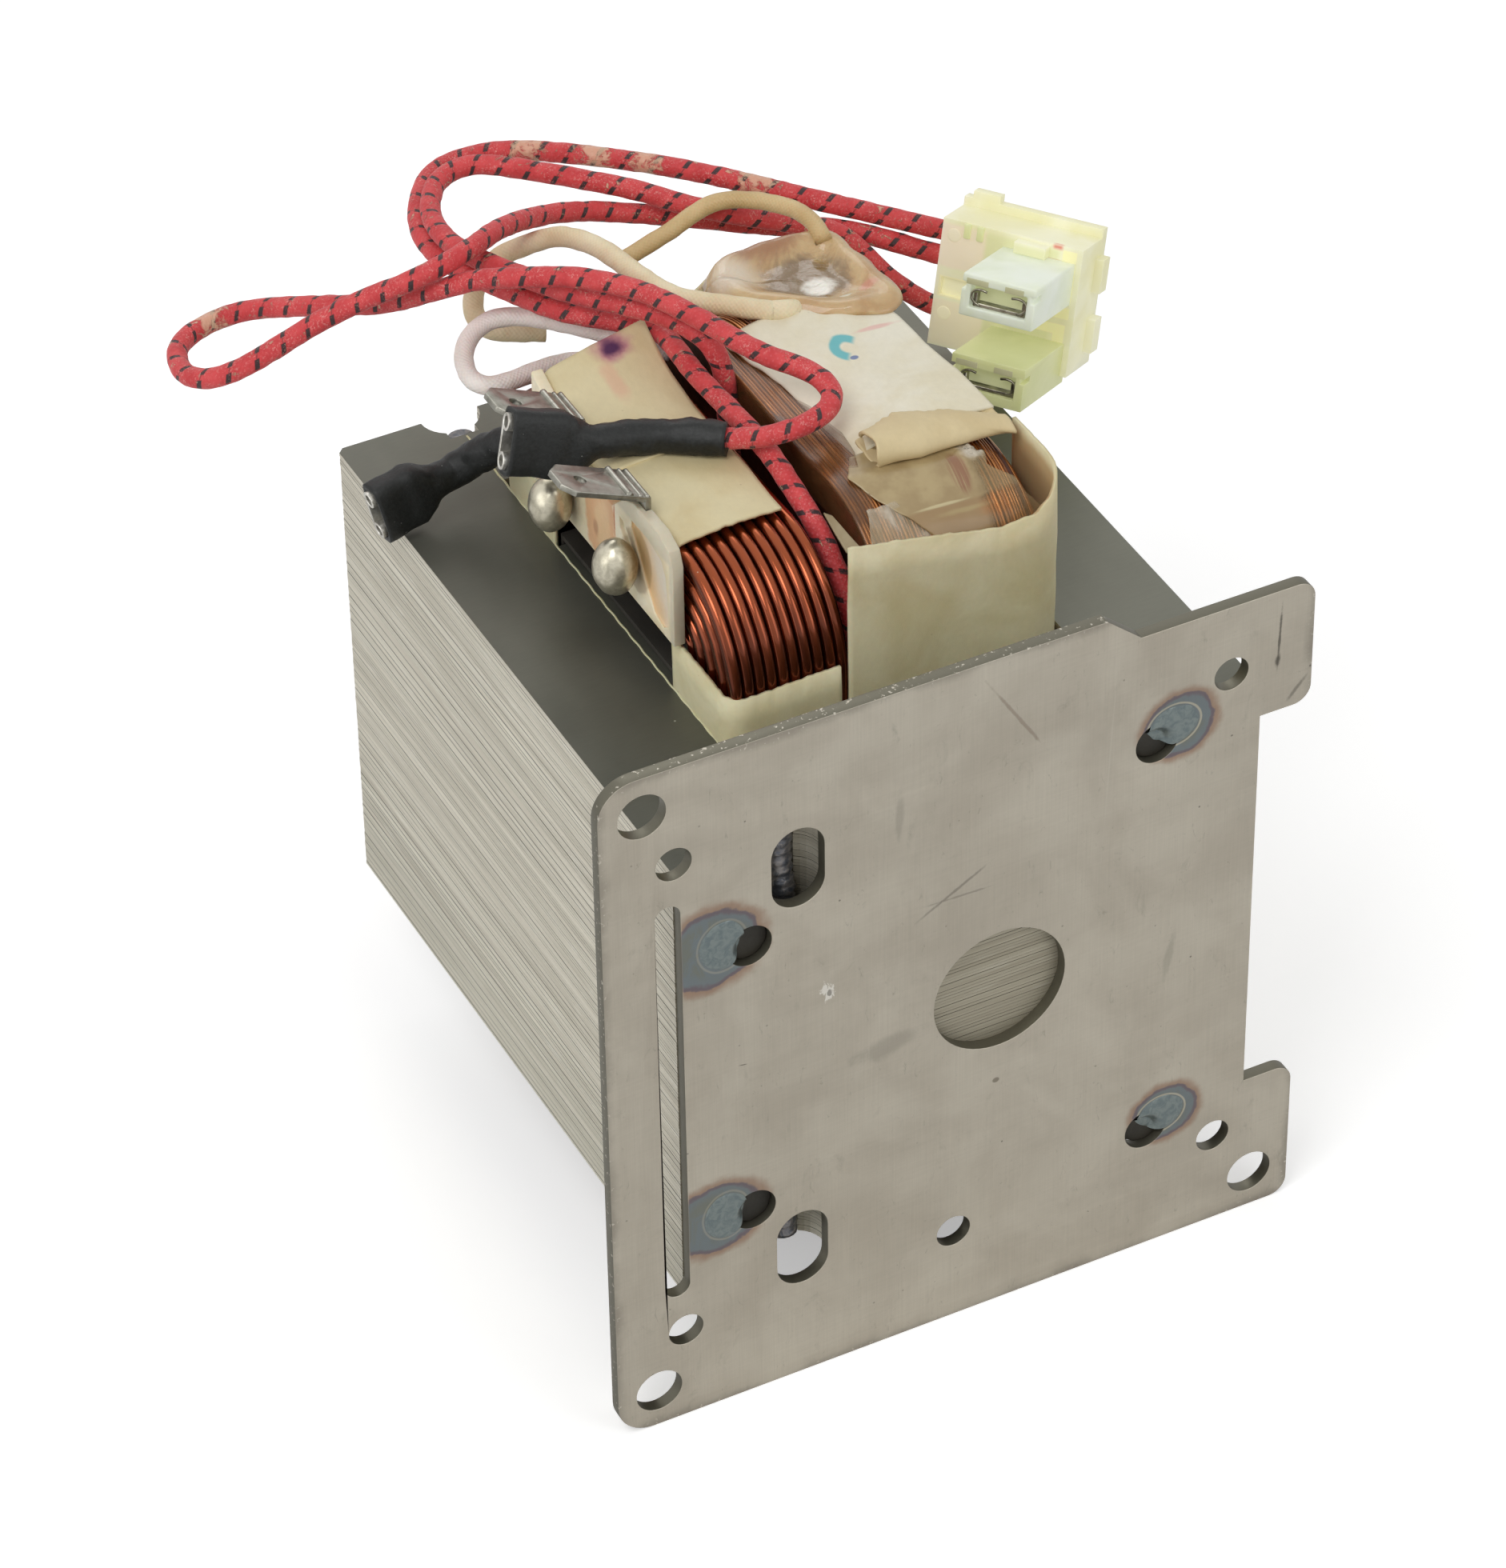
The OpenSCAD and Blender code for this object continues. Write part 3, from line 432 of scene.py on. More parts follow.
def red_braid():
    """woven glass sleeve with a dark tracer thread round it, sparkling with dried varnish"""
    f = Finish("red_braid", roughness=0.62, sheen_weight=0.12, subsurface_weight=0.06,
               subsurface_scale=0.001)
    u, v, _ = f.axes(f.node("TexCoord", "UV"))
    x, y, _ = f.xyz
    # u is the length along the lead in centimetres and v goes once round it
    along = u * 10.0
    wash = f.cloud(0.32, 4, 0.6)
    f.base(wash.rise(0.3, 0.7), (216, 72, 74), (196, 50, 54))
    one = (along * 1.15 + v * 8.0).part()
    two = (along * 1.15 - v * 8.0).part()
    knit = abs(one - 0.5) * abs(two - 0.5) * 4.0
    # painted highlight: the crossings of the weave are lighter pink, more so towards the front
    near = y.rise(75.0, 30.0) * 0.6 + 0.25
    f.paint(knit.rise(0.35, 0.8) * near * 0.5, 228, 112, 120)
    frost = f.cloud(3.4, 3, 0.75)
    patch = f.cloud(0.42, 3, 0.6, 0.5)
    sparkle = frost.rise(0.52, 0.66) * patch.rise(0.38, 0.62)
    # pale flecks of dried varnish, painted lighter as glints
    f.paint(sparkle * 0.55, 238, 178, 170)
    turn = (along * 0.262 + v + (wash - 0.5) * 0.06).part()
    away = abs(turn - 0.5)
    over = (v * math.tau * 4.0 + 0.6).sine()
    dash = away.rise(0.105, 0.07) * over.rise(-0.7, -0.3)
    tail = away.rise(0.035, 0.015) * 0.5
    tracer = dash.most(tail) * (1.0 - sparkle * 0.45)
    f.paint(tracer * 0.97, 30, 28, 30)
    dry = f.cloud(0.6, 5, 0.7, 0.6)
    crust = (dry + (y * 0.01).least(1.0) * 0.05).rise(0.655, 0.72)
    for centre in ((0.5, 114.4), (55.6, 112.3), (60.8, 108.1), (48.2, 117.8), (72.2, 99.5)):
        flake = f.spot(x, y, centre, (3.0, 3.0), (dry - 0.5) * 3.0)
        crust = crust.most(flake.rise(0.8, 0.4))
    f.paint(crust * 0.75, 222, 184, 152)
    f.relief(knit * 0.35 + frost * 0.35 + crust * 0.8 - tracer * 0.3, 0.13)
    return f.done(roughness=0.66 - crust * 0.25)


def plain_cord(name, pale, deep, roughness):
    """smooth tube or woven sleeve of one colour"""
    f = Finish(name, roughness=roughness, subsurface_weight=0.1, subsurface_scale=0.002)
    u, v, _ = f.axes(f.node("TexCoord", "UV"))
    soak = f.cloud(0.16, 4)
    knit = ((u * 110.0).sine() * (v * 75.0).sine()) * 0.5 + 0.5
    f.base(soak.rise(0.3, 0.7), pale, deep)
    f.dim(knit * 0.06 + 0.96)
    f.relief(knit * 0.5 + f.cloud(0.8, 4), 0.08)
    return f.done()


def black_tube():
    """shrunk sleeving with dust and rubbed edges"""
    f = Finish("black_tube", roughness=0.55, specular_ior_level=0.35)
    fine = f.cloud(2.2, 4, 0.6)
    dust = f.specks(1.1, 0.09) * f.cloud(0.5).rise(0.5, 0.62)
    rub = f.cloud((0.5, 0.5, 1.4), 5, 0.75).rise(0.62, 0.8)
    f.base(fine.rise(0.3, 0.7), (20, 21, 20), (31, 33, 32))
    f.paint(rub * 0.4, 96, 98, 98)
    f.paint(dust * 0.7, 150, 150, 146)
    f.relief(fine + rub * 0.5, 0.06)
    return f.done(roughness=0.48 + rub * 0.2)


def tinned(name, pale, dark, roughness):
    """tinned brass, cloudy and scuffed"""
    f = Finish(name, roughness=roughness, metallic=0.85)
    cloudy = f.cloud(0.6, 4, 0.6, 0.4)
    scuff = f.cloud((0.6, 3.0, 3.0), 4, 0.7)
    f.base(cloudy.rise(0.35, 0.7), pale, dark)
    f.paint(scuff.rise(0.6, 0.72) * 0.3, 112, 109, 100)
    f.relief(cloudy + scuff * 0.4, 0.05)
    return f.done(roughness=roughness + scuff * 0.2)


def solder_metal():
    """satin solder, with brownish flux where it meets the board"""
    f = Finish("solder_metal", roughness=0.3, metallic=0.85)
    x = f.xyz[0]
    frost = f.cloud(0.7, 4, 0.65, 0.5)
    f.base(frost.rise(0.35, 0.65), (206, 200, 180), (176, 170, 150))
    foot = (x + (frost - 0.5) * 1.5).rise(23.0, 24.6)
    f.paint(foot * 0.7, 150, 130, 96)
    f.relief(frost, 0.02)
    return f.done(roughness=0.22 + frost * 0.2)


def board_laminate():
    """hard insulating board, yellowed, with a flux stain between the joints"""
    f = Finish("board_laminate", roughness=0.42, subsurface_weight=0.15, subsurface_scale=0.002)
    x, y, z = f.xyz
    soak = f.cloud(0.18, 4, 0.6, 0.6)
    grain = f.cloud((0.6, 1.6, 1.6), 4)
    f.base(soak.rise(0.3, 0.7), (238, 228, 202), (226, 212, 176))
    pit = x.rise(25.42, 25.56) * y.rise(43.5, 42.0)
    hollow = f.blend((y * 0.8 + z * -0.35 + soak * 3.0).rise(-9.6, -3.4), (238, 230, 214),
                     (222, 184, 132))
    f.colour = f.blend(pit, f.colour, hollow)
    white = (z - 108.8).most(31.6 - y) + (soak - 0.5) * 0.8
    f.paint(white.rise(0.0, 0.9) * y.rise(47.0, 45.0), 206, 198, 174)
    # flux: the stain, its paler middle, a burn, a rusty line, and the foot of the front joint
    for centre, radii, cloud, wobble, rim, full, share, hue in (
            ((50.6, 103.6), (4.6, 8.6), soak, 0.9, 1.0, 0.82, 0.9, (216, 168, 124)),
            ((49.6, 103.0), (2.6, 5.2), soak, 1.6, 1.0, 0.5, 0.6, (226, 196, 152)),
            ((51.6, 101.4), (0.9, 1.5), soak, 1.6, 1.0, 0.3, 0.5, (150, 98, 72)),
            ((46.2, 106.4), (0.22, 4.6), grain, 0.9, 1.0, 0.3, 0.85, (188, 98, 34)),
            ((40.4, 103.8), (3.5, 4.3), soak, 0.5, 1.12, 0.95, 0.5, (146, 118, 74))):
        f.mark((y, z), centre, radii, (cloud - 0.5) * wobble, full, share, hue, rim)
    f.dim(grain * 0.12 + 0.94)
    f.relief(grain + soak * 0.5, 0.05)
    return f.done()


def nylon(name, pale, deep, moulding=()):
    """moulded nylon that lets some light through; moulding has shaded patches of its front face"""
    f = Finish(name, roughness=0.36, subsurface_weight=0.35, subsurface_scale=0.004)
    # painted glow: the emission stands for light that comes through the thin walls from the white
    # surroundings
    f.set(subsurface_radius=(1.0, 0.95, 0.6), emission_color=tone(*pale), emission_strength=0.24)
    swirl = f.cloud(0.12, 3, 0.5, 0.6)
    f.base(swirl.rise(0.3, 0.7), pale, deep)
    x, y, z = f.block_axes()
    soft = (f.cloud(0.5, 3) - 0.5) * 0.7
    for (x0, z0, x1, z1), hue, share, blur in moulding:
        # a patch of another shade on the front face
        u, w = x + soft * blur, z + soft * blur
        inside = (u.rise(x0 - 0.12, x0 + 0.12 + blur) * u.rise(x1 + 0.12, x1 - 0.12 - blur)
                  * w.rise(z0 - 0.12, z0 + 0.12 + blur) * w.rise(z1 + 0.12, z1 - 0.12 - blur))
        f.paint(inside * y.rise(0.9, 0.5) * share, *hue)
    f.relief(f.cloud(0.9, 3), 0.03)
    return f.done(roughness=0.3 + swirl * 0.12)


def sheer_film(name, one, other, clear):
    """thin clear film that lies on the wires, brownish"""
    f = Finish(name, roughness=0.3, coat_weight=0.35, coat_roughness=0.16)
    crease = f.cloud((0.35, 0.12, 0.3), 3, 0.5, 0.6)
    f.base(crease.rise(0.35, 0.7), one, other)
    f.relief(crease, 0.3)
    return f.done(alpha=clear + crease.rise(0.5, 0.75) * 0.3)


def torn_film():
    """matte beige film over the front turns, thin and clear towards the right"""
    f = Finish("torn_film", roughness=0.4, coat_weight=0.25, coat_roughness=0.15)
    x, y, _ = f.xyz
    soak = f.cloud(0.3, 3)
    stripe = f.cloud((2.2, 0.05, 0.05), 2)
    wave = (soak - 0.5) * 2.0
    f.base(soak.rise(0.3, 0.7), (182, 162, 120), (162, 140, 100))
    lower = (y + wave * 0.4).rise(25.4, 24.8)
    f.paint(lower * 0.8, 166, 136, 96)
    for centre, radii, wobble, full, share, hue in (
            ((66.4, 23.6), (3.4, 1.6), 0.3, 0.2, 0.7, (200, 138, 84)),
            ((59.6, 25.2), (4.8, 0.3), 0.2, 0.4, 0.7, (214, 202, 160)),
            ((62.5, 24.0), (5.6, 0.5), 0.4, 0.2, 0.5, (196, 180, 130)),
            ((63.6, 28.4), (1.5, 3.4), 0.3, 0.6, stripe.rise(0.4, 0.6) * 0.7, (134, 78, 58)),
            # the crumpled bit: whitish film with painted highlights
            ((66.5, 30.6), (1.9, 2.2), 0.5, 0.5, 0.6, (214, 208, 196))):
        silver = f.mark((x, y), centre, radii, wave * wobble, full, share, hue)
    clear = (x + wave * 0.6 + lower * 0.6).rise(64.8, 66.6) * silver.rise(0.7, 1.0)
    f.relief(soak + silver.rise(1.0, 0.4) * f.cloud(0.9, 4) * 3.0, 0.2)
    return f.done(alpha=0.96 - clear * 0.62 - lower * 0.12)


def varnished_paper():
    """paper soaked through and glazed with a pool of clear varnish"""
    f = Finish("varnished_paper", roughness=0.42, coat_weight=0.6, coat_roughness=0.06,
               subsurface_weight=0.1, subsurface_scale=0.002)
    x, y, _ = f.xyz
    soak = f.cloud(0.16, 4, 0.6, 0.8)
    fibre = f.cloud((0.8, 1.4, 1.0), 4, 0.65)
    f.base(soak.rise(0.3, 0.7), (184, 146, 98), (206, 178, 130))
    f.dim(fibre * 0.24 + 0.88)
    pool = f.mark((x, y), (65.4, 71.6), (6.6, 5.6), (soak - 0.5) * 1.2, 0.6, 0.85, (118, 94, 62))
    for centre, radii, wobble, full, share, hue in (
            ((56.6, 75.4), (5.2, 4.6), 0.8, 0.2, 0.7, (232, 218, 200)),
            ((63.0, 78.8), (8.0, 2.6), 0.8, 0.3, 0.75, (148, 96, 62)),
            # painted highlight on the glazed pool
            ((65.6, 69.6), (2.9, 2.3), 1.6, 0.5, 0.9, (240, 234, 222)),
            ((71.1, 65.8), (1.6, 1.0), 1.6, 0.2, 0.45, (214, 120, 112))):
        f.mark((x, y), centre, radii, (soak - 0.5) * wobble, full, share, hue)
    ripple = (f.spot(x, y, (65.8, 71.2), (1.0, 0.8)) * 3.4).sine() * pool.rise(0.8, 0.3)
    f.relief(fibre * 0.3 + soak + ripple * 0.12, 0.45)
    return f.done(roughness=0.45 - pool.rise(1.0, 0.7) * 0.33)


def new_piece(name, points, faces, finish, map_uv=None, smooth=True):
    mesh = bpy.data.meshes.new(name)
    mesh.from_pydata([metres(p) for p in points], [], faces)
    if map_uv:
        layer = mesh.uv_layers.new(name="surface")
        for i, uv in enumerate(map_uv):
            layer.data[i].uv = uv
    mesh.materials.append(FINISHES[finish])
    mesh.polygons.foreach_set("use_smooth", [smooth] * len(mesh.polygons))
    mesh.update()
    return add_object(name, mesh)


def settle(piece):
    """turns what the modifiers make into the piece's own mesh"""
    bpy.context.view_layer.update()
    graph = bpy.context.evaluated_depsgraph_get()
    mesh = bpy.data.meshes.new_from_object(piece.evaluated_get(graph))
    piece.modifiers.clear()
    piece.data = mesh
    return piece


def dress(piece, slot, *nodes):
    """the piece rides on the body and stands for the named CAD nodes; slot is not used"""
    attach(piece, "root")
    if nodes:
        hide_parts(*nodes)
    return piece


def prism_faces(n):
    """caps and walls between two outlines of n points"""
    return ([tuple(range(n - 1, -1, -1)), tuple(range(n, 2 * n))]
            + [(k, (k + 1) % n, n + (k + 1) % n, n + k) for k in range(n)])


def prism(points, x0, x1):
    """block between two planes, from an outline in Y and Z"""
    ring = [(x, y, z) for x in (x0, x1) for y, z in points]
    block = new_piece("block", ring, prism_faces(len(points)), "board_laminate", smooth=False)
    shape = bmesh.new()
    shape.from_mesh(block.data)
    bmesh.ops.recalc_face_normals(shape, faces=shape.faces)
    shape.to_mesh(block.data)
    shape.free()
    return block


def weld_points(piece):
    """makes one of points in the same place"""
    piece.modifiers.new("weld", "WELD").merge_threshold = 0.00001


def round_edges(piece, width, segments):
    """rounds the edges sharper than 35 degrees"""
    bevel = piece.modifiers.new("bevel", "BEVEL")
    bevel.width = width * MM
    bevel.segments = segments
    bevel.limit_method = "ANGLE"
    bevel.angle_limit = math.radians(35)


def softened(node, finish, slot, width, segments=2, hollows=(), nudge=None):
    """copy of a CAD node with hollows cut out and its edges rounded by width"""
    source = frame["nodes"][node]
    mesh = source.data.copy()
    mesh.name = node + "_dressed"
    mesh.transform(source.matrix_world)
    mesh.materials.clear()
    mesh.materials.append(FINISHES[finish])
    piece = add_object(node + "_dressed", mesh)
    weld_points(piece)
    flat = piece.modifiers.new("flat", "DECIMATE")
    flat.decimate_type = "DISSOLVE"
    flat.angle_limit = math.radians(1.0)
    if nudge:
        for v in mesh.vertices:
            v.co = metres(nudge(Vector(v.co) / MM + CORNER))
    for hollow in hollows:
        cut = piece.modifiers.new("cut", "BOOLEAN")
        cut.operation = "DIFFERENCE"
        cut.solver = "EXACT"
        cut.object = hollow
    round_edges(piece, width, segments)
    settle(piece)
    for hollow in hollows:
        bpy.data.objects.remove(hollow)
    piece.data.polygons.foreach_set("use_smooth", [True] * len(piece.data.polygons))
    piece.data.set_sharp_from_angle(angle=math.radians(32))
    return dress(piece, slot, node)


def smooth_route(points, step):
    """even points on one smooth curve through the given ones"""
    pts = [Vector(p) for p in points]
    pts = [2 * pts[0] - pts[1]] + pts + [2 * pts[-1] - pts[-2]]
    dense = []
    for a, b, c, d in zip(pts, pts[1:], pts[2:], pts[3:]):
        for i in range(24):
            t = i / 24
            dense.append(0.5 * (2 * b + (c - a) * t + (2 * a - 5 * b + 4 * c - d) * t * t
                                + (3 * b - a - 3 * c + d) * t ** 3))
    dense.append(pts[-2])
    total = sum((b - a).length for a, b in zip(dense, dense[1:]))
    count = max(2, round(total / step))
    even, walked, wanted = [dense[0]], 0.0, total / count
    for a, b in zip(dense, dense[1:]):
        span = (b - a).length
        while walked + span >= wanted - 1e-9 and len(even) < count:
            even.append(a.lerp(b, (wanted - walked) / span))
            wanted += total / count
        walked += span
    even.append(dense[-1])
    return even


def distances(route):
    """way walked at each point of a route"""
    walked = [0.0]
    for a, b in zip(route, route[1:]):
        walked.append(walked[-1] + (b - a).length)
    return walked


def heading(route, i):
    """direction of a route at one of its points"""
    return (route[min(i + 1, len(route) - 1)] - route[max(i - 1, 0)]).normalized()


def relaxed(route, passes):
    """the same route with its tight bends eased, ends kept"""
    for _ in range(passes):
        route = ([route[0]] + [(a + 2 * b + c) / 4 for a, b, c in zip(route, route[1:], route[2:])]
                 + [route[-1]])
    return route


def carried_frames(route, start=(0.3, 0.2, 1.0)):
    """tangent, side and second side at each point, without twist"""
    frames, side = [], None
    for i, _ in enumerate(route):
        t = heading(route, i)
        if side is None:
            side = t.cross(Vector(start)).normalized()
        side = (side - side.dot(t) * t).normalized()
        frames.append((t, side, t.cross(side)))
    return frames


def loft(name, rings, finish, lengths):
    """closed skin over rings of equal count; the map runs along in u and round in v"""
    n, last = len(rings[0]), len(rings) - 1
    faces, uv = [], []
    for i in range(last):
        for k in range(n):
            corners = ((i, k), (i, k + 1), (i + 1, k + 1), (i + 1, k))
            faces.append(tuple(a * n + b % n for a, b in corners))
            uv += [(lengths[a] / 10, b / n) for a, b in corners]
    faces += [tuple(range(n - 1, -1, -1)), tuple(last * n + k for k in range(n))]
    uv += [(0, k / n) for k in range(n - 1, -1, -1)] + [(lengths[-1] / 10, k / n) for k in range(n)]
    return new_piece(name, [p for ring in rings for p in ring], faces, finish, uv)


def tube(name, route, diameter, finish, sides=20, lumps=0.0, seed=0.0):
    """round bar along a route, with lumps as a share of its radius"""
    rings = []
    for p, (_, a, b) in zip(route, carried_frames(route)):
        ring = []
        for k in range(sides):
            turn = math.tau * k / sides
            out = a * math.cos(turn) + b * math.sin(turn)
            wave = noise.noise((p + out * 1.2) * 0.7 + Vector((seed, 0, 0)))
            ring.append(p + out * (diameter / 2 * (1 + lumps * wave)))
        rings.append(ring)
    return loft(name, rings, finish, distances(route))


def free_lead(name, points, diameter, length, finish, slot, far_end, pieces=()):
    """a free lead along its route"""
    route = relaxed(smooth_route(points, 0.45), 14)
    lead = tube(name + "_sleeve", route, diameter, finish, 24, 0.07, len(name))
    dress(lead, slot, name)
    metres(points[0])
    [metres(p) for p in route[::3] + [route[-1]]]
    list(pieces)


def sheet(name, shape, finish, columns, rows, thick):
    """thin stiff sheet; shape(u, v) gives the middle of the sheet for u and v from 0 to 1"""
    points = [shape(i / columns, j / rows) for j in range(rows + 1) for i in range(columns + 1)]
    faces, uv = [], []
    for j in range(rows):
        for i in range(columns):
            corners = ((i, j), (i + 1, j), (i + 1, j + 1), (i, j + 1))
            faces.append(tuple(b * (columns + 1) + a for a, b in corners))
            uv += [(a / columns, b / rows) for a, b in corners]
    piece = new_piece(name, points, faces, finish, uv)
    wall = piece.modifiers.new("wall", "SOLIDIFY")
    wall.thickness = thick * MM
    wall.offset = 0.0
    wall.use_even_offset = False
    return settle(piece)


def swell(x, y, z):
    """smooth noise at a place"""
    return noise.noise(Vector((x, y, z)))


def ruffle(p, size, grain, seed=0.0):
    """small shift of a point, the same on every run"""
    q = Vector(p) * grain + Vector((seed, seed * 1.7, 0))
    return Vector(p) + size * Vector((noise.noise(q), noise.noise(q + Vector((9, 0, 0))),
                                      noise.noise(q + Vector((0, 9, 0)))))


def along_path(points, t):
    """point at share t of the length of a polyline"""
    pts = [Vector(p) for p in points]
    spans = [(b - a).length for a, b in zip(pts, pts[1:])]
    want = t * sum(spans)
    for a, b, span in zip(pts, pts[1:], spans):
        if want <= span or b is pts[-1]:
            return a.lerp(b, min(1.0, want / span) if span else 0)
        want -= span


def share_of(value, low=0.0, high=1.0):
    """how far value is from low to high, from 0 to 1"""
    return min(1.0, max(0.0, (value - low) / (high - low)))


def arc(centre, radius, start, stop, steps=6):
    """points on an arc, angles in degrees"""
    return [(centre[0] + radius * math.cos(math.radians(start + (stop - start) * i / steps)),
             centre[1] + radius * math.sin(math.radians(start + (stop - start) * i / steps)))
            for i in range(steps + 1)]


def value_on(table, at):
    """straight line between the pairs of a table"""
    for (x0, v0), (x1, v1) in zip(table, table[1:]):
        if at <= x1:
            return v0 + (v1 - v0) * max(0.0, at - x0) / (x1 - x0)
    return table[-1][1]


def repeat_tree():
    """copies of a piece along a line, each shifted a little and drawn in towards the far end"""
    tree = bpy.data.node_groups.new("repeat_along_line", "GeometryNodeTree")
    names = {}
    for label, kind in (("Geometry", "Geometry"), ("Count", "Int"), ("Start", "Vector"),
                        ("Step", "Vector"), ("Wander", "Vector"), ("Draw in", "Float"),
                        ("Draw from", "Float"), ("Seed", "Int"), ("Finish", "Material")):
        socket = tree.interface.new_socket(label, in_out="INPUT", socket_type="NodeSocket" + kind)
        names[label] = socket.identifier
    tree.interface.new_socket("Geometry", in_out="OUTPUT", socket_type="NodeSocketGeometry")
    graph = Graph(tree)
    given = {label: graph.node("NodeGroupInput", label) for label in names}
    line = graph.node("GeometryNodeMeshLine", 0, {
        "Count": given["Count"], "Start Location": given["Start"], "Offset": given["Step"]})
    low = graph.node("VectorMath", 0, {0: given["Wander"], "Scale": -1.0}, operation="SCALE")
    drift = graph.node("FunctionNodeRandomValue", 0, {
        "Min": low, "Max": given["Wander"], "Seed": given["Seed"]}, data_type="FLOAT_VECTOR")
    shift = graph.node("GeometryNodeSetPosition", 0, {"Geometry": line, "Offset": drift})
    share = graph.node("GeometryNodeInputIndex").math("DIVIDE", given["Count"])
    ease = graph.node("MapRange", 0, {"Value": share, "From Min": given["Draw from"],
                                      "To Min": 0.0, "To Max": 1.0})
    drawn = ease.math("POWER", 2.5) * given["Draw in"]
    size = graph.node("Math", 0, {0: 1.0, 1: drawn}, operation="SUBTRACT")
    copies = graph.node("GeometryNodeInstanceOnPoints", 0, {
        "Points": shift, "Instance": given["Geometry"], "Scale": size})
    real = graph.node("GeometryNodeRealizeInstances", 0, {0: copies})
    painted = graph.node("GeometryNodeSetMaterial", 0, {
        "Geometry": real, "Material": given["Finish"]})
    graph.node("NodeGroupOutput", 0, {0: painted})
    return tree, names


REPEAT, REPEAT_INPUTS = repeat_tree()


def repeated(piece, **settings):
    """runs the repeat tree on a piece and keeps the result as its mesh"""
    modifier = piece.modifiers.new("repeat", "NODES")
    modifier.node_group = REPEAT
    settings["Finish"] = piece.data.materials[0]
    for label, value in settings.items():
        modifier[REPEAT_INPUTS[label.replace("_", " ")]] = value
    return settle(piece)


ROUTE_UPPER = [(47, 23.6, 92.5), (46.7, 24.8, 98.5), (46, 29.8, 105.8), (45, 38.4, 110.9),
               (44.9, 46.2, 112), (43.6, 58.6, 113.2), (43.8, 66, 113.3), (43.7, 70.4, 113.1),
               (40.6, 74.2, 113.1), (34.6, 80.3, 113.2), (30.4, 91, 112), (28, 100, 110.8),
               (28.1, 107.5, 110.3), (30.9, 114.4, 110.2), (36, 120, 110.3), (43.6, 120.1, 110.6),
               (51.6, 115.4, 110.8), (65.2, 104.7, 110), (81.8, 92.5, 106.2), (92.3, 85.6, 103.4),
               (95.6, 81.8, 103.4)]
ROUTE_LOWER = [(47.2, 57.6, 98.4), (47.2, 58.4, 106), (47.2, 59.2, 112.4), (46, 61, 116.6),
               (43.8, 66.2, 117.5), (40.2, 72.1, 117.1), (34.8, 80.2, 116.4), (30.5, 91.2, 114.9),
               (28.6, 98.5, 114), (29.2, 106.5, 113.2), (32.5, 112.8, 113.1), (37, 115.2, 113.2),
               (42, 112.9, 113.3), (54.9, 102, 112.2), (61.4, 96, 110.8), (71.7, 90.4, 108.4),
               (78, 88.7, 106), (81.4, 87.3, 102.6), (84.2, 84.9, 98.8), (88.8, 83, 94.6),
               (93.2, 79.5, 92.9)]
ROUTE_CAPACITOR = [(95, 80.6, 100.4), (91.2, 84.3, 100.6), (81.4, 90.8, 103.6), (72, 94.6, 105.2),
                   (62, 98.4, 107.4), (54.5, 101.4, 108.8), (48.6, 102.6, 110.2),
                   (41.9, 101.1, 112.6), (33.7, 95.6, 116.6), (26.6, 90.8, 118.2),
                   (19.7, 90.9, 116.4), (13.1, 94.7, 112.6), (7.2, 97.2, 109), (0.6, 98.1, 106),
                   (-4.1, 99.7, 103.8), (-6.7, 104, 102), (-5.9, 110, 101.2), (-2.8, 113.4, 101.1),
                   (2.2, 114.4, 101.6), (6.7, 112.4, 102.8), (12.6, 105.5, 105.6), (18, 96.3, 110),
                   (25.9, 87.1, 116.4), (30, 81.5, 119), (35.7, 76.5, 120.2), (40.8, 70, 120.6),
                   (44.2, 62.8, 120.5), (48.8, 52.6, 119.4), (53.2, 47.5, 118.2),
                   (54.4, 43.9, 117.2), (52.2, 41.1, 116.7), (47.9, 40.3, 116.2), (44, 42, 115),
                   (41, 46.4, 112.9)]
ROUTE_WHITE = [(45, 70, 109.7), (42.4, 73.8, 109.9), (40.3, 76.8, 109.7), (33.6, 85.4, 109.2),
               (28.6, 88.7, 108.4), (24.4, 86.9, 107.1), (22.5, 82.4, 106), (23.9, 79.2, 105.6),
               (28.5, 79.7, 105.2), (34.6, 80.8, 104.6), (39.6, 80, 104)]
ROUTE_CREAM = [(57.8, 66.3, 113.9), (52.5, 69.4, 114.8), (47.7, 73.6, 115), (45.8, 80.7, 114.8),
               (44.5, 89.2, 114.2), (42.2, 95.9, 112.5), (38.9, 99.2, 110.1), (35.6, 100.7, 108.4),
               (32.8, 100.8, 105.8), (30.8, 98.7, 103.5), (30.9, 95.9, 102), (33.9, 94.1, 101.4),
               (38.2, 92.6, 101)]
ROUTE_TAN = [(48.7, 92.7, 108), (56.2, 92.7, 110.4), (62.2, 93, 112.6), (66.1, 90.3, 113.8),
             (69.6, 84.7, 114.8), (70.5, 79.7, 115.3), (70.1, 76, 114.8)]
NECK_UPPER = [(27, 52.4, 113.6), (32, 51.6, 112.9), (37, 49.2, 112.8), (41, 46.4, 112.9)]
UPPER_MOUTH, UPPER_PITCH, UPPER_YAW = (15.2, 54.8, 116.1), 16, -11
LOWER_MOUTH, LOWER_PITCH, LOWER_YAW = (6.9, 77.4, 92.9), -11, 5
NECK_LOWER = [(18.9, 78.4, 95.2), (21.8, 76, 98.4), (23.8, 72.8, 101.2), (24.8, 70, 102.6)]


def flat_ring(centre, wide, thin, half_wide, half_thin, count=28, power=3.0):
    """one ring of a sleeve, between an oval and a flat box"""
    ring = []
    for k in range(count):
        turn = math.tau * k / count
        c, s = math.cos(turn), math.sin(turn)
        ring.append(centre + wide * half_wide * math.copysign(abs(c) ** (2 / power), c)
                    + thin * half_thin * math.copysign(abs(s) ** (2 / power), s))
    return ring


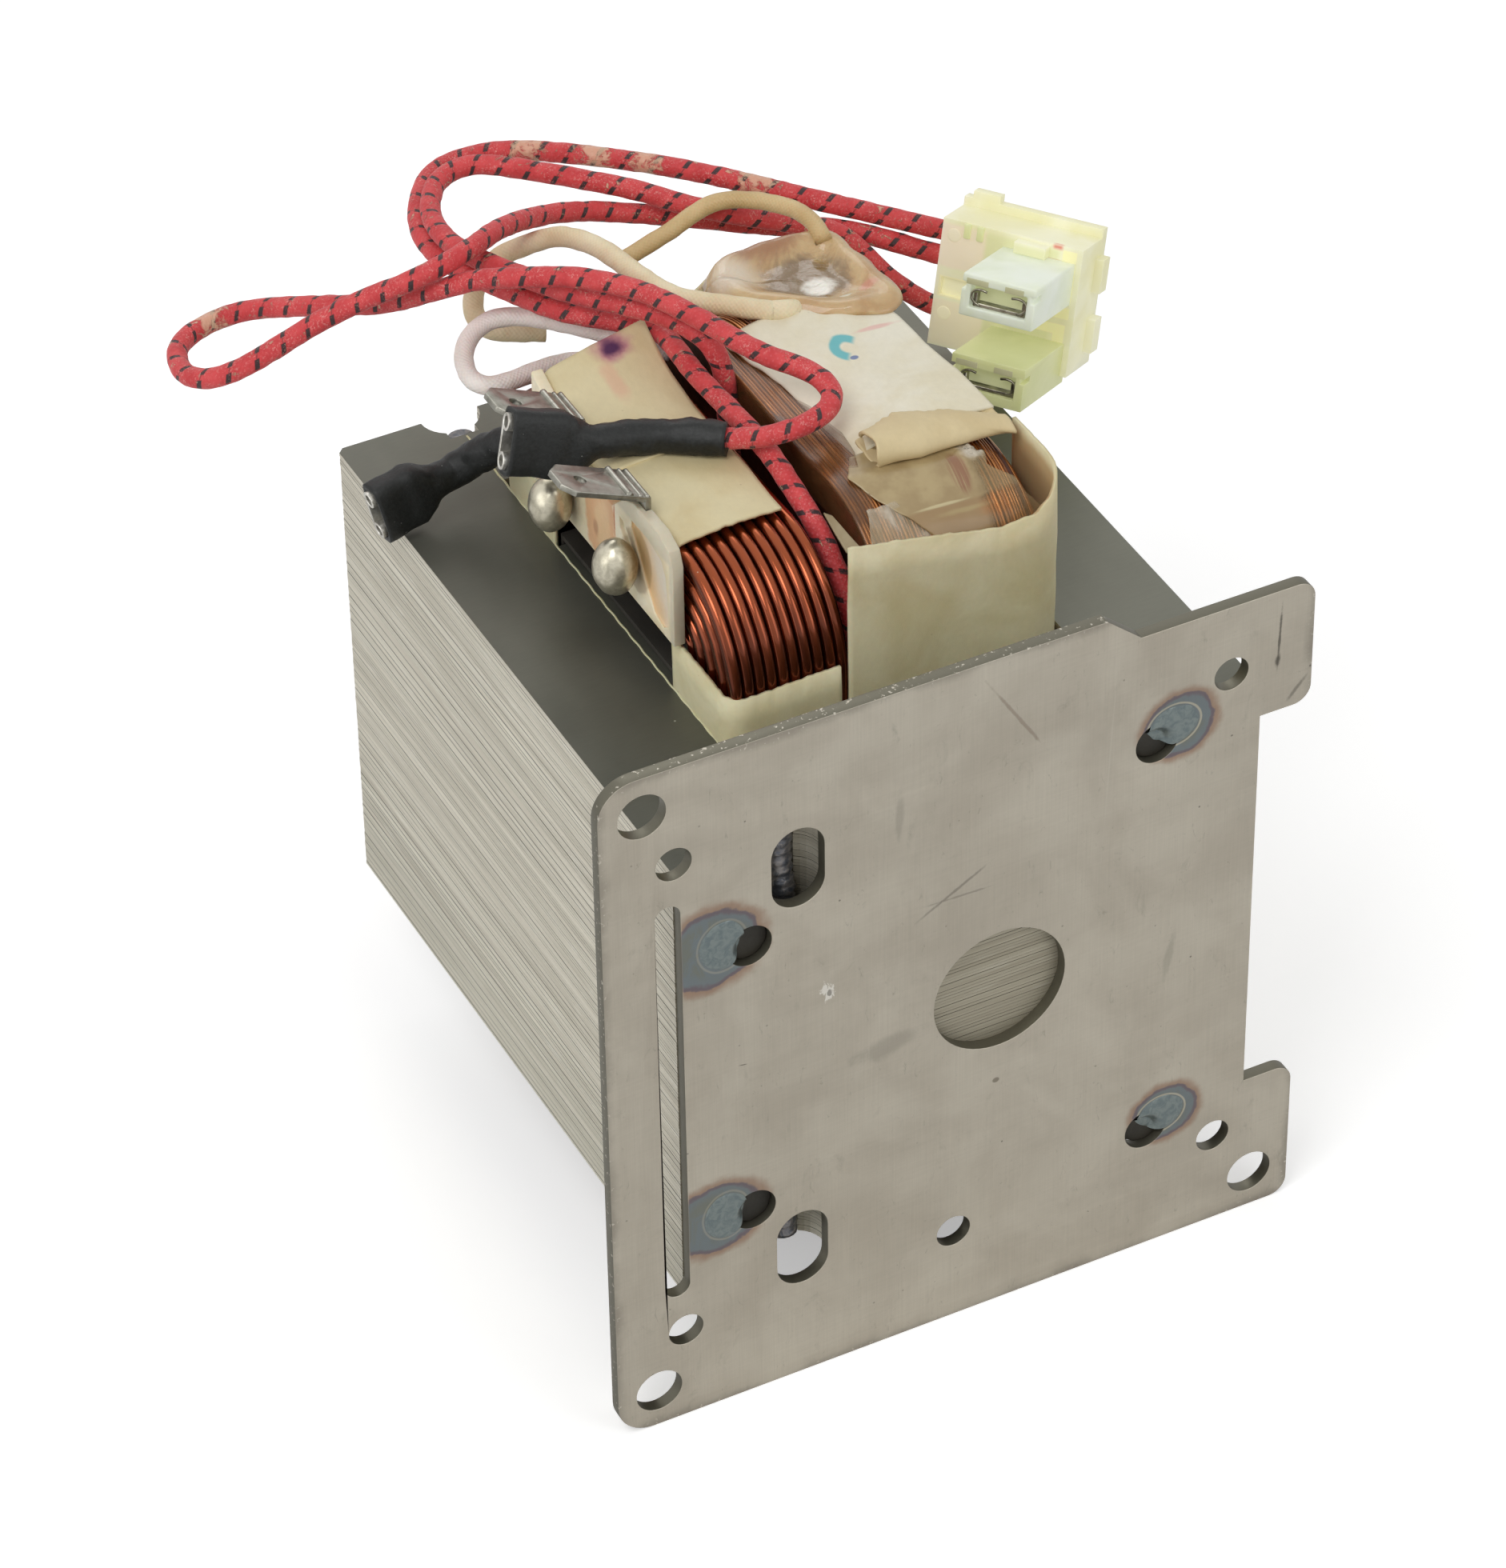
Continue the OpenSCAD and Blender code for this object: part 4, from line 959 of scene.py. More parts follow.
def black_sleeve(name, mouth, pitch, roll, neck, flat_part, yaw):
    """flat sleeve over a receptacle that shrinks round the lead behind it"""
    turn = (Matrix.Rotation(math.radians(yaw), 3, "Z")
            @ Matrix.Rotation(math.radians(pitch), 3, "Y")
            @ Matrix.Rotation(math.radians(roll), 3, "X"))
    axis, wide = turn @ Vector((1, 0, 0)), turn @ Vector((0, 0, 1))
    mouth = Vector(mouth)
    spine = [mouth, mouth + axis * 4, mouth + axis * 8.4] + [Vector(p) for p in neck]
    route = smooth_route(spine, 0.5)
    rings, lengths = [], distances(route)
    for i, (p, walked) in enumerate(zip(route, lengths)):
        t = heading(route, i)
        w = (wide - wide.dot(t) * t).normalized()
        b = t.cross(w)
        flat = 1 - share_of(walked, flat_part, flat_part + 4.6)
        flat = flat * flat * (3 - 2 * flat)
        wave = noise.noise(p * 0.35) * 0.22
        ring = flat_ring(p, w, b, 2.25 + 2.05 * flat + wave, 2.1 + 0.05 * flat + wave,
                         power=2.0 + 2.0 * flat)
        if flat < 1:
            ring = [ruffle(q, 0.22, 0.7, 3.0) for q in ring]
        rings.append(ring)
    inside = [[p + (route[i] - p) * 0.2 for p in rings[i]] for i in range(12, -1, -1)]
    piece = loft(name + "_shrunk", inside + rings, "black_tube", [0.0] * len(inside) + lengths)
    return dress(piece, "black_sleeve", name)


def make_leads():
    nodes = frame["nodes"]
    upper = black_sleeve("black_sleeve_upper", UPPER_MOUTH, UPPER_PITCH, -20, NECK_UPPER, 7.2,
                         UPPER_YAW)
    lower = black_sleeve("black_sleeve_lower", LOWER_MOUTH, LOWER_PITCH, -7, NECK_LOWER, 4.9,
                         LOWER_YAW)
    connector = [nodes[n] for n in ("connector_block", "housing_upper", "housing_lower",
                                    "housing_contact_upper", "housing_contact_lower")]
    ends = [upper, nodes["receptacle_upper"], lower, nodes["receptacle_lower"]]
    for name, route, wide, length, finish, slot, far_end, pieces in (
            ("filament_lead_upper", ROUTE_UPPER, 2.7, 0.187, "red_braid", "red_braid",
             "connector", connector),
            ("filament_lead_lower", ROUTE_LOWER, 2.7, 0.154, "red_braid", "red_braid",
             "object", ()),
            ("capacitor_lead", ROUTE_CAPACITOR, 2.7, 0.248, "red_braid", "red_braid",
             "connector", ends),
            ("white_lead", ROUTE_WHITE, 2.5, 0.054, "white_silicone", "white_lead", "object", ()),
            ("cream_sleeve", ROUTE_CREAM, 2.7, 0.064, "cream_sleeving", "cream_sleeve",
             "object", ())):
        free_lead(name, route, wide, length, finish, slot, far_end, pieces)
    root = smooth_route([(57.2, 66.6, 113.95), (58.8, 66.1, 113.9), (60.6, 66.3, 113.3),
                         (62.4, 67.6, 112.2)], 0.4)
    dress(tube("cream_sleeve_root", root, 2.66, "cream_sleeving", 24), "cream_sleeve")
    free_lead("tan_sleeve", ROUTE_TAN, 2.3, 0.035, "tan_sleeving", "tan_sleeve", "object")


E_OUTLINE = ([(26.4, 6.6), (28.4, 6.6)] + arc((26.4, 1.8), 4.0, 60, 0, 5)
             + [(90.4, 1.8), (90.4, 97.8)] + arc((26.4, 97.8), 4.0, 0, -60, 5)
             + [(28.4, 93.0), (26.4, 93.0), (26.4, 81.8), (74.4, 81.8), (74.4, 65.8), (26.4, 65.8),
                (26.4, 33.8), (74.4, 33.8), (74.4, 17.8), (26.4, 17.8)])
I_OUTLINE = ([(26.4, 6.6), (26.4, 93.0), (24.4, 93.0)] + arc((26.4, 97.8), 4.0, 240, 180, 5)
             + [(11.2, 97.8), (10.4, 97.0), (10.4, 1.8)] + arc((26.4, 1.8), 4.0, 180, 120, 5)
             + [(24.4, 6.6)])
STACK_Z, STACK_H, SHEETS = 19.2, 69.2, 138


def core_stack(name, outline, node, seed):
    """one lamination, repeated up the stack"""
    step = STACK_H / SHEETS
    points = [(x, y, z) for z in (0.0, step * 0.93) for x, y in outline]
    stack = new_piece(name, points, prism_faces(len(outline)), "core_iron", smooth=False)
    top = STACK_Z + STACK_H - (SHEETS - 1) * step - step * 0.93
    repeated(stack, Count=SHEETS, Start=(0, 0, top * MM), Step=(0, 0, step * MM),
             Wander=(0.00003, 0.00003, 0), Draw_in=0.0, Draw_from=0.9, Seed=seed)
    return dress(stack, "core_steel", node)


def blob(name, centre, radii, finish, rough=0.08, grain=0.5, level=4, squash=None):
    """rounded lump with an uneven skin"""
    shape = bmesh.new()
    bmesh.ops.create_icosphere(shape, subdivisions=level, radius=1.0)
    points, faces = [], []
    for v in shape.verts:
        d = Vector(v.co)
        wave = 1 + rough * noise.noise(d * 2.2 + Vector(centre) * grain)
        p = Vector([c + r * a * wave for c, r, a in zip(centre, radii, d)])
        points.append(squash(p) if squash else p)
    faces = [tuple(v.index for v in face.verts) for face in shape.faces]
    shape.free()
    return new_piece(name, points, faces, finish)


def make_core():
    core_stack("core_laminations_e", E_OUTLINE, "e_core", 3)
    core_stack("core_laminations_i", I_OUTLINE, "i_core", 8)
    softened("mounting_plate", "plate_steel", "plate_steel", 0.28, 3)
    for node in ("magnetic_shunt_front", "magnetic_shunt_rear"):
        paint(node, "core_iron")
    for node, y, way in (("joint_weld_front", 5.1, 1), ("joint_weld_rear", 94.5, -1)):
        rings = []
        for i in range(135):
            p = Vector((26.4, y + way * 0.35 * math.sin(i * 0.21), 20.2 + i * 0.5))
            r = 1.75 + 0.16 * math.sin(i * 2.2) + 0.2 * noise.noise(p * 0.4)
            rings.append([p + Vector((r * math.cos(a), way * r * 0.8 * math.sin(a), 0))
                          for a in (math.tau * k / 16 * way for k in range(16))])
        bead = loft(node + "_bead", rings, "joint_bead", [i * 0.5 for i in range(135)])
        dress(bead, "weld_metal", node)
    for node, hole, plug, radii in (
            ("plate_weld_left_upper", (19.7, 74.5), (16.0, 76.1), (3.1, 3.7)),
            ("plate_weld_left_lower", (19.7, 31.0), (15.8, 31.8), (3.1, 3.6)),
            ("plate_weld_right_upper", (76.1, 84.4), (78.4, 86.3), (3.4, 3.0)),
            ("plate_weld_right_lower", (76.2, 20.2), (78.4, 22.0), (3.3, 2.9))):
        def pour(p, hole=hole):
            # the flat plug runs down into the hole beside it
            inside = max(0.0, 2.9 - math.hypot(p.x - hole[0], p.z - hole[1]))
            return Vector((p.x, p.y + min(1.2, inside * inside * 0.5), p.z))
        bead = blob(node + "_plug", (plug[0], 0.05, plug[1]), (radii[0], 0.3, radii[1]),
                    "plug_bead", 0.06, 0.9, 5, pour)
        dress(bead, "weld_metal", node)
        # dark disc deep in the hole beside the plug: painted shade
        pit = blob(node + "_pit", (hole[0], 1.3, hole[1]), (2.85, 0.12, 2.85), "painted_hole_shade")
        dress(pit, "weld_metal")


def joint_line():
    """dried varnish along the seam on the core's top"""
    route = [Vector((26.45 + 0.05 * math.sin(i * 0.9), 7.0 + i * 0.5, 88.42)) for i in range(172)]
    dress(tube("joint_varnish", route, 0.3, "liner_paper", 8), "insulating_paper")


def paint(node, finish):
    """a CAD node stays and gets its finish"""
    source = frame["nodes"][node]
    if not source.data.materials:
        source.data.materials.append(FINISHES[finish])
    for slot in source.material_slots:
        slot.material = FINISHES[finish]


def round_loop(half_y, half_z, corner, steps):
    """outline of a box with round corners, about its own middle"""
    return [p for cy, cz, start in ((1, 1, 0), (-1, 1, 90), (-1, -1, 180), (1, -1, 270))
            for p in arc((cy * (half_y - corner), cz * (half_z - corner)), corner, start,
                         start + 90, steps)]


def turn_of_wire(half_y, half_z, corner, wire, finish, sides, steps):
    """one closed turn round the centre leg, drawn about its own middle"""
    path = round_loop(half_y, half_z, corner, steps)
    n = len(path)
    points, faces = [], []
    for i, (y, z) in enumerate(path):
        before, after = path[i - 1], path[(i + 1) % n]
        t = Vector((0, after[0] - before[0], after[1] - before[1])).normalized()
        out = Vector((0, t.z, -t.y))
        for k in range(sides):
            a = math.tau * k / sides
            points.append(CORNER + Vector((0, y, z)) + wire / 2 * (
                out * math.cos(a) + Vector((1, 0, 0)) * math.sin(a)))
            m, j = (k + 1) % sides, (i + 1) % n
            faces.append((i * sides + k, i * sides + m, j * sides + m, j * sides + k))
    return new_piece("turn", points, faces, finish)


def joined(name, pieces):
    """several meshes as one piece"""
    whole = bmesh.new()
    for piece in pieces:
        whole.from_mesh(piece.data)
    mesh = bpy.data.meshes.new(name)
    whole.to_mesh(mesh)
    whole.free()
    for finish in pieces[0].data.materials:
        mesh.materials.append(finish)
    for piece in pieces:
        bpy.data.objects.remove(piece)
    return add_object(name, mesh)


def ring_block(name, x0, x1, half_y, half_z, corner, hole_y, hole_z, centre_z, finish):
    """solid ring behind the outer turns"""
    outer = [(MID_Y + y, centre_z + z) for y, z in round_loop(half_y, half_z, corner, 8)]
    inner = [(MID_Y + math.copysign(hole_y, y - MID_Y),
              centre_z + math.copysign(hole_z, z - centre_z)) for y, z in outer]
    n = len(outer)
    points = [(x, y, z) for x, ring in ((x0, outer), (x1, outer), (x1, inner), (x0, inner))
              for y, z in ring]
    faces = []
    for a, b in ((0, 1), (1, 2), (2, 3), (3, 0)):
        for k in range(n):
            m = (k + 1) % n
            faces.append((b * n + k, b * n + m, a * n + m, a * n + k))
    block = new_piece(name, points, faces, finish, smooth=False)
    weld_points(block)
    return settle(block)


def make_windings():
    layers = []
    for layer in range(9):
        inset = 0.8 + layer * 1.42
        sides, steps = (6, 5) if layer else (12, 14)
        one = turn_of_wire(31.5 - inset, 54.8 - inset, max(2.0, 15 - inset), 1.58,
                           "enamelled_copper", sides, steps)
        start = metres((28.1 + 0.35 * (layer % 2), MID_Y, 54.8))
        layers.append(repeated(one, Count=10, Start=start, Step=(0.0016, 0, 0),
                               Wander=(0.00004, 0.00012, 0.00012), Draw_in=0.0, Draw_from=0.9,
                               Seed=layer + 1))
    dress(joined("primary_turns", layers), "thick_copper", "primary_winding")

    layers = []
    for layer, (sides, steps) in enumerate(((6, 14), (4, 10))):
        inset = 0.3 + layer * 0.4
        one = turn_of_wire(31.4 - inset, 56.0 - inset, 15 - inset, 0.44, "fine_wire", sides, steps)
        start = metres((48.9 + layer * 0.2, MID_Y, 56.0))
        layers.append(repeated(one, Count=53, Start=start, Step=(0.00046, 0, 0),
                               Wander=(0.00005, 0.00012, 0.00012), Draw_in=0.1, Draw_from=0.76,
                               Seed=21 + layer))
    dress(joined("secondary_turns", layers), "fine_copper", "secondary_winding")
    # dark block behind the outer turns: painted shade between them
    dress(ring_block("secondary_fill", 48.8, 70.6, 30.5, 55.0, 14, 16.7, 41.2, 56.0,
                     "shaded_winding_fill"), "fine_copper")

    loops = []
    for layer in range(3):
        inset = 1.5 + layer * 3.1
        path = [Vector((47.25, MID_Y + y, 53.8 + z))
                for y, z in round_loop(25.6 - inset, 45.2 - inset, 6.5 - layer * 1.6, 8)]
        loops.append(tube("loop", path + path[:1], 2.6, "red_braid", 12))
    dress(joined("filament_turns", loops), "red_braid", "filament_winding")
    # the primary former gets a dark finish that stands for the shade it lies in
    for node, finish in (("separator_front", "brown_card"), ("separator_rear", "brown_card"),
                         ("primary_former", "former_in_shade"), ("secondary_former", "liner_paper")):
        paint(node, finish)


def standing_sheet(name, plan, low, top, node, mirrored, seed):
    """sheet stood on edge along a plan line; top is a table of height along it"""
    def shape(u, v):
        x, y, _ = along_path([(a, b, 0) for a, b in plan], u)
        z = low + (value_on(top, u) - low) * v
        p = ruffle((x, y, z), 0.16, 0.12, seed)
        p.z = z + 0.25 * v * swell(u * 30, seed, 0)
        if mirrored:
            p.y = 2 * MID_Y - p.y
        return p
    piece = sheet(name, shape, "liner_paper", 72, 24, 0.48)
    if mirrored:
        piece.data.flip_normals()
    dress(piece, "insulating_paper", node)


def make_liners():
    low_plan = [(26.65, 33.3), (26.65, 20.6)] + arc((29.2, 20.6), 2.55, 180, 270) + [(41.8, 18.05)]
    high_plan = [(42.9, 18.05)] + arc((67.8, 24.4), 6.35, 270, 360, 8) + [(74.15, 33.4)]
    low_top = [(0, 96.6), (0.45, 96.4), (1, 96.8)]
    high_tops = (
        [(0, 114.2), (0.24, 112.2), (0.48, 109.8), (0.58, 110.2), (0.68, 111.8), (0.76, 112.9),
         (0.84, 113.3), (1, 113.0)],
        [(0, 106.0), (0.15, 106.5), (0.26, 108.6), (0.33, 111.0), (0.4, 112.5), (0.48, 112.3),
         (0.575, 110.9), (0.7, 110.5), (0.8, 111.5), (1, 112.0)])
    for rear, end in enumerate(("front", "rear")):
        standing_sheet("primary_liner_sheet_" + end, low_plan, 12.3, low_top,
                       "primary_liner_" + end, rear, 2.0 + rear)
        standing_sheet("secondary_liner_sheet_" + end, high_plan, 10.2, high_tops[rear],
                       "secondary_liner_" + end, rear, 5.0 + rear)


def make_primary_papers():
    section = ([(27.0, 96.6), (27.0, 103.0), (27.05, 108.6)] + arc((28.6, 108.8), 1.6, 170, 90, 4)
               + [(34.0, 110.7), (42.0, 110.3)])

    def section_at(u):
        """X and Z, and how far over the top from the fold at 0 to the free end at 1"""
        x, z, _ = along_path([(a, b, 0) for a, b in section], u)
        return x, z, max(0.0, (x - 27.3) / 14.7)

    def front(u, v):
        x, z, over = section_at(u)
        y = 33.0 + 0.7 * over + v * (17.4 - 1.0 * over)
        y += 0.25 * swell(u * 26, 1.0, 0) * (1 - v)
        return ruffle((x, y, z), 0.22, 0.16, 1.0)

    def rear(u, v):
        x, z, over = section_at(u)
        y = MID_Y + v * (19.4 + 2.2 * over)
        lift = max(0.0, (y - 56.0) / 14.0)
        if z > 108:
            z += lift * lift * (3.0 + 0.6 * over)
        return ruffle((x, y, z + 0.15), 0.25, 0.16, 7.0)

    dress(sheet("primary_flap_front", front, "flap_paper", 60, 36, 0.42),
          "insulating_paper", "primary_paper_front", "primary_side_paper")
    dress(sheet("primary_flap_rear", rear, "flap_paper", 60, 40, 0.42),
          "insulating_paper", "primary_paper_rear")


ROLL = [(54.7, [(38.5, 112.8), (35.6, 112.3), (33.8, 112.2), (32.7, 112.8), (32.4, 114.1),
                (33.0, 115.4), (34.5, 116.0), (36.4, 115.5), (37.7, 114.4), (38.2, 113.5)]),
        (60.5, [(41, 112.6), (35, 112.4), (32.8, 112.4), (31.9, 113.1), (31.8, 114.2),
                (33, 115.2), (35.5, 115.4), (38, 114.8), (40.1, 113.9)]),
        (67.0, [(40, 112.6), (34, 112.4), (32.4, 112.5), (31.7, 113.1), (31.9, 113.9),
                (33.2, 114.5), (35.2, 114.6), (36.6, 114.2), (37.6, 113.7)]),
        (72.9, [(38, 112.8), (33, 112.5), (31.3, 112.6), (30.6, 113), (30.8, 113.4),
                (31.6, 113.7), (32.4, 113.8), (33, 113.8), (33.6, 113.6)])]


def crown(y):
    """height of the secondary's top turns, level and then round the corner"""
    corner_y, corner_z, radius = 33.4, 97.0, 15.0
    past = max(0.0, corner_y - y)
    return corner_z + math.sqrt(max(0.0, radius ** 2 - past ** 2))


def make_secondary_papers():
    sections = [(x, smooth_route([(y, z, 0) for y, z in pairs], 0.3)) for x, pairs in ROLL]

    def roll(u, v):
        x = 54.7 + 18.2 * u
        near = max(i for i in range(3) if sections[i][0] <= x + 1e-6)
        (x0, a), (x1, b) = sections[near:near + 2]
        y, z, _ = along_path(a, v).lerp(along_path(b, v), (x - x0) / (x1 - x0))
        torn = max(0.0, v - 0.88) * 8.0
        y += torn * (0.5 * swell(u * 20, 3.0, 0) + 0.25 * swell(u * 60, 1.0, 0))
        x += 0.35 * swell(v * 7, 8.0, 0) + 0.5 * torn * (1 - u)
        return ruffle((x, y, z), 0.1, 0.25, 4.0)

    def cover(u, v):
        y = 36.5 + v * 29.5
        left = value_on([(36.5, 55.3), (38.7, 55.2), (44.3, 54.5), (50.7, 53.2), (58.2, 51.5),
                         (63, 50.2), (66, 50.0)], y)
        right = value_on([(36.5, 73.0), (45.5, 73.0), (52.5, 71.9), (59.2, 71.8), (66, 70.5)], y)
        x = left + (right - left) * u
        folds = 0.2 * math.sin((x * 0.8 - y) * 1.1) * max(0.0, (y - 50) / 12) * (1 - u)
        z = 112.85 + 0.5 * math.sin(math.pi * u) + folds
        down = max(0.0, 1 - u / 0.12)
        near = share_of(y, 54.0, 44.0)
        x -= down * 1.4 * near
        z -= down * down * (0.3 + 0.7 * near)
        return ruffle((x, y, z), 0.18, 0.12, 2.0)

    def flap(u, v):
        y = 36.4 - v * 14.8
        left = value_on([(21.6, 57.6), (22.7, 56.9), (24.9, 54.9), (26.6, 53.4), (28.2, 52.3),
                         (30.9, 50.9), (32.4, 50.6), (36.4, 52.8)], y)
        right = value_on([(21.6, 72.2), (22.3, 71.8), (25.9, 69.8), (28.0, 67.6), (29.6, 67.9),
                          (32.3, 66.4), (36.4, 66.4)], y)
        x = left + (right - left) * u
        z = crown(y) + 0.5 + 0.25 * math.sin(y * 0.9 + x * 0.2)
        crumple = max(0.0, 1 - (Vector((x, y)) - Vector((66.5, 30.6))).length / 2.8)
        z += crumple * (0.5 + 0.9 * swell(x * 1.3, y * 1.3, 0))
        x += 0.3 * swell(v * 9, u * 1.2, 2.0)
        return ruffle((x, y, z), 0.12, 0.2, 9.0)

    def side(u, v):
        y = 22.5 + v * 43
        inner = value_on([(22, 50.4), (28, 51.6), (33, 52.6), (37, 53.8), (44, 54.6), (50, 53.8),
                          (58, 52.2), (66, 50.8)], y)
        if u < 0.3:
            x, z = 48.4, crown(y) - 5.0 * (0.3 - u) / 0.3
        else:
            s = (u - 0.3) / 0.7
            x = 48.4 + (inner - 48.4) * s
            z = crown(y) + 0.35 * math.sin(math.pi * min(1.0, s + 0.15) / 2)
        return ruffle((x, y, z), 0.25, 0.16, 12.0)

    def scrap(u, v):
        # clear bit between the torn film and the edge of the liner
        y = 27.2 - v * 5.6
        left = 50.2 - 1.8 * v
        x = left + (54.2 + 3.6 * v - left) * u
        z = crown(y) + 0.55 + 0.3 * swell(x * 0.9, y * 0.7, 5.0)
        return ruffle((x, y, z), 0.25, 0.3, 15.0)

    rim = smooth_route([(x, y, 0) for x, y in (
        (53.0, 76.0), (54.6, 71.6), (59.0, 66.8), (64.4, 62.9), (70.0, 60.2), (73.8, 61.5),
        (74.2, 66.5), (73.6, 73.0), (72.6, 78.4), (68.8, 80.6), (61.5, 80.5), (55.6, 79.9),
        (53.0, 76.0))], 1.5)

    def lump(u, v):
        x, y, _ = Vector((65.4, 71.4, 0)).lerp(along_path(rim, u), v)
        foot = 113.2 - 0.9 * max(0.0, (60.0 - x) / 6.0) - max(0.0, (y - 77.4) / 3.2) ** 1.4 * 6.5
        crest = 114.3 + 0.5 * max(0.0, (y - 72.0) / 6.0) - 0.5 * max(0.0, (58.0 - x) / 6.0)
        pool = 112.9  # height of the hollow in the middle
        if v > 0.8:
            s = (v - 0.8) / 0.2
            z = crest + (foot - crest) * s * s
        else:
            s = share_of(v, 0.42, 0.8)
            z = pool + (crest - pool) * s * s * (3 - 2 * s)
        return ruffle((x, y, z), 0.35, 0.3, 6.0)

    def groove(u, v):
        # narrow sheet that stands up in the groove beside the lead
        low = Vector((45.6, 23.6, 109.0)).lerp(Vector((47.9, 22.8, 108.3)), u)
        high = Vector((45.2, 28.8, 111.6)).lerp(Vector((46.0, 28.2, 111.3)), u)
        return ruffle(low.lerp(high, v), 0.1, 0.4, 3.0)

    for name, shape, finish, columns, rows, thick, slot, nodes in (
            ("secondary_cover_sheet", cover, "cover_paper", 56, 70, 0.36, "insulating_paper",
             ["secondary_cover_paper"]),
            ("secondary_cover_roll", roll, "roll_paper", 60, 70, 0.4, "insulating_paper", []),
            ("secondary_film_front", flap, "torn_film", 60, 60, 0.14, "clear_film",
             ["secondary_film_flap"]),
            ("secondary_film_side", side, "brown_film", 24, 80, 0.12, "clear_film", []),
            ("secondary_film_scrap", scrap, "pale_film", 24, 20, 0.1, "clear_film", []),
            ("lead_joint_wrap", lump, "varnished_paper", 72, 26, 0.45, "varnished_paper",
             ["lead_wrap_varnished"]),
            ("groove_paper", groove, "groove_card", 10, 14, 0.3, "insulating_paper", [])):
        dress(sheet(name, shape, finish, columns, rows, thick), slot, *nodes)


def make_terminals():
    scoop = prism([(41.5, 109.2), (37.0, 109.3), (33.4, 108.4), (32.4, 106.6), (31.9, 101.8),
                   (31.9, 99.3), (33.2, 98.3), (35.6, 98.9), (38.3, 102.4), (40.4, 105.8),
                   (41.7, 108.0)], 24.6, 25.7)
    slot = prism([(45.0, 107.7), (43.9, 107.5), (42.2, 106.2), (41.2, 104.6), (42.6, 104.0),
                  (44.8, 105.8)], 24.4, 26.0)

    def ear(p):
        # the rear ear stands a little higher and further back than the plain board
        if p.y > 64.2 and p.z > 111.5:
            p.z += 0.3 + (p.y - 64.3) * 0.42
        if p.y > 64.2:
            p.y += 0.9
        return p
    softened("terminal_board", "board_laminate", "terminal_card", 0.35, 3,
             hollows=(scoop, slot), nudge=ear)
    slope = math.radians(24)
    for node, y in (("terminal_tab_front", 42.0), ("terminal_tab_rear", 60.0)):
        softened(node, "tinned_tab", "tinned_tab", 0.14, 2)
        ribs = []
        for back, r in ((0.5, 0.34), (1.5, 0.28), (3.1, 0.5)):
            x = 26.9 - back * math.cos(slope)
            z = 113.9 + back * math.sin(slope) - 0.1
            line = [Vector((x, y + s, z)) for s in (-3.12, -2.8, -1, 1, 2.8, 3.12)]
            ribs.append(tube("rib", line, r * 2, "tinned_tab", 10))
        dress(joined(node + "_ribs", ribs), "tinned_tab")
    for node, centre, radii in (("solder_ball_front", (22.4, 40.3, 104.0), (2.85, 2.9, 3.9)),
                                ("solder_ball_rear", (22.4, 58.6, 101.4), (2.8, 2.85, 3.8))):
        dress(blob(node + "_drop", centre, radii, "solder_metal", 0.03, 0.5),
              "solder", node)
    for node, old, new, pitch, yaw, draw in (
            ("receptacle_upper", (15.4, 52.4, 117), UPPER_MOUTH, UPPER_PITCH, UPPER_YAW, 0.0),
            ("receptacle_lower", (7, 78.4, 92.8), LOWER_MOUTH, LOWER_PITCH, LOWER_YAW, 0.4)):
        def outward(p, old=Vector(old), new=Vector(new), pitch=math.radians(pitch), yaw=yaw,
                    draw=draw):
            # turned with its sleeve, and the rim stands out of it
            axis = Vector((math.cos(pitch), 0, -math.sin(pitch)))
            p = p - old - axis * (0.8 + draw * max(0.0, (p - old).dot(axis) - 1.0))
            return Matrix.Rotation(math.radians(yaw), 3, "Z") @ p + new
        softened(node, "tinned_contact", "tinned_contact", 0.1, 1, nudge=outward)


def block_part(name, low, high, finish, slot, width=0.12):
    """box with rounded edges in the connector's own frame"""
    corners = [Vector((x, y, z)) for x in (low[0], high[0]) for y in (low[1], high[1])
               for z in (low[2], high[2])]
    faces = [(0, 1, 3, 2), (4, 6, 7, 5), (0, 4, 5, 1), (2, 3, 7, 6), (0, 2, 6, 4), (1, 5, 7, 3)]
    part = new_piece(name, [BLOCK_TURN @ c + BLOCK_AT for c in corners], faces, finish)
    round_edges(part, width, 2)
    return dress(settle(part), slot)


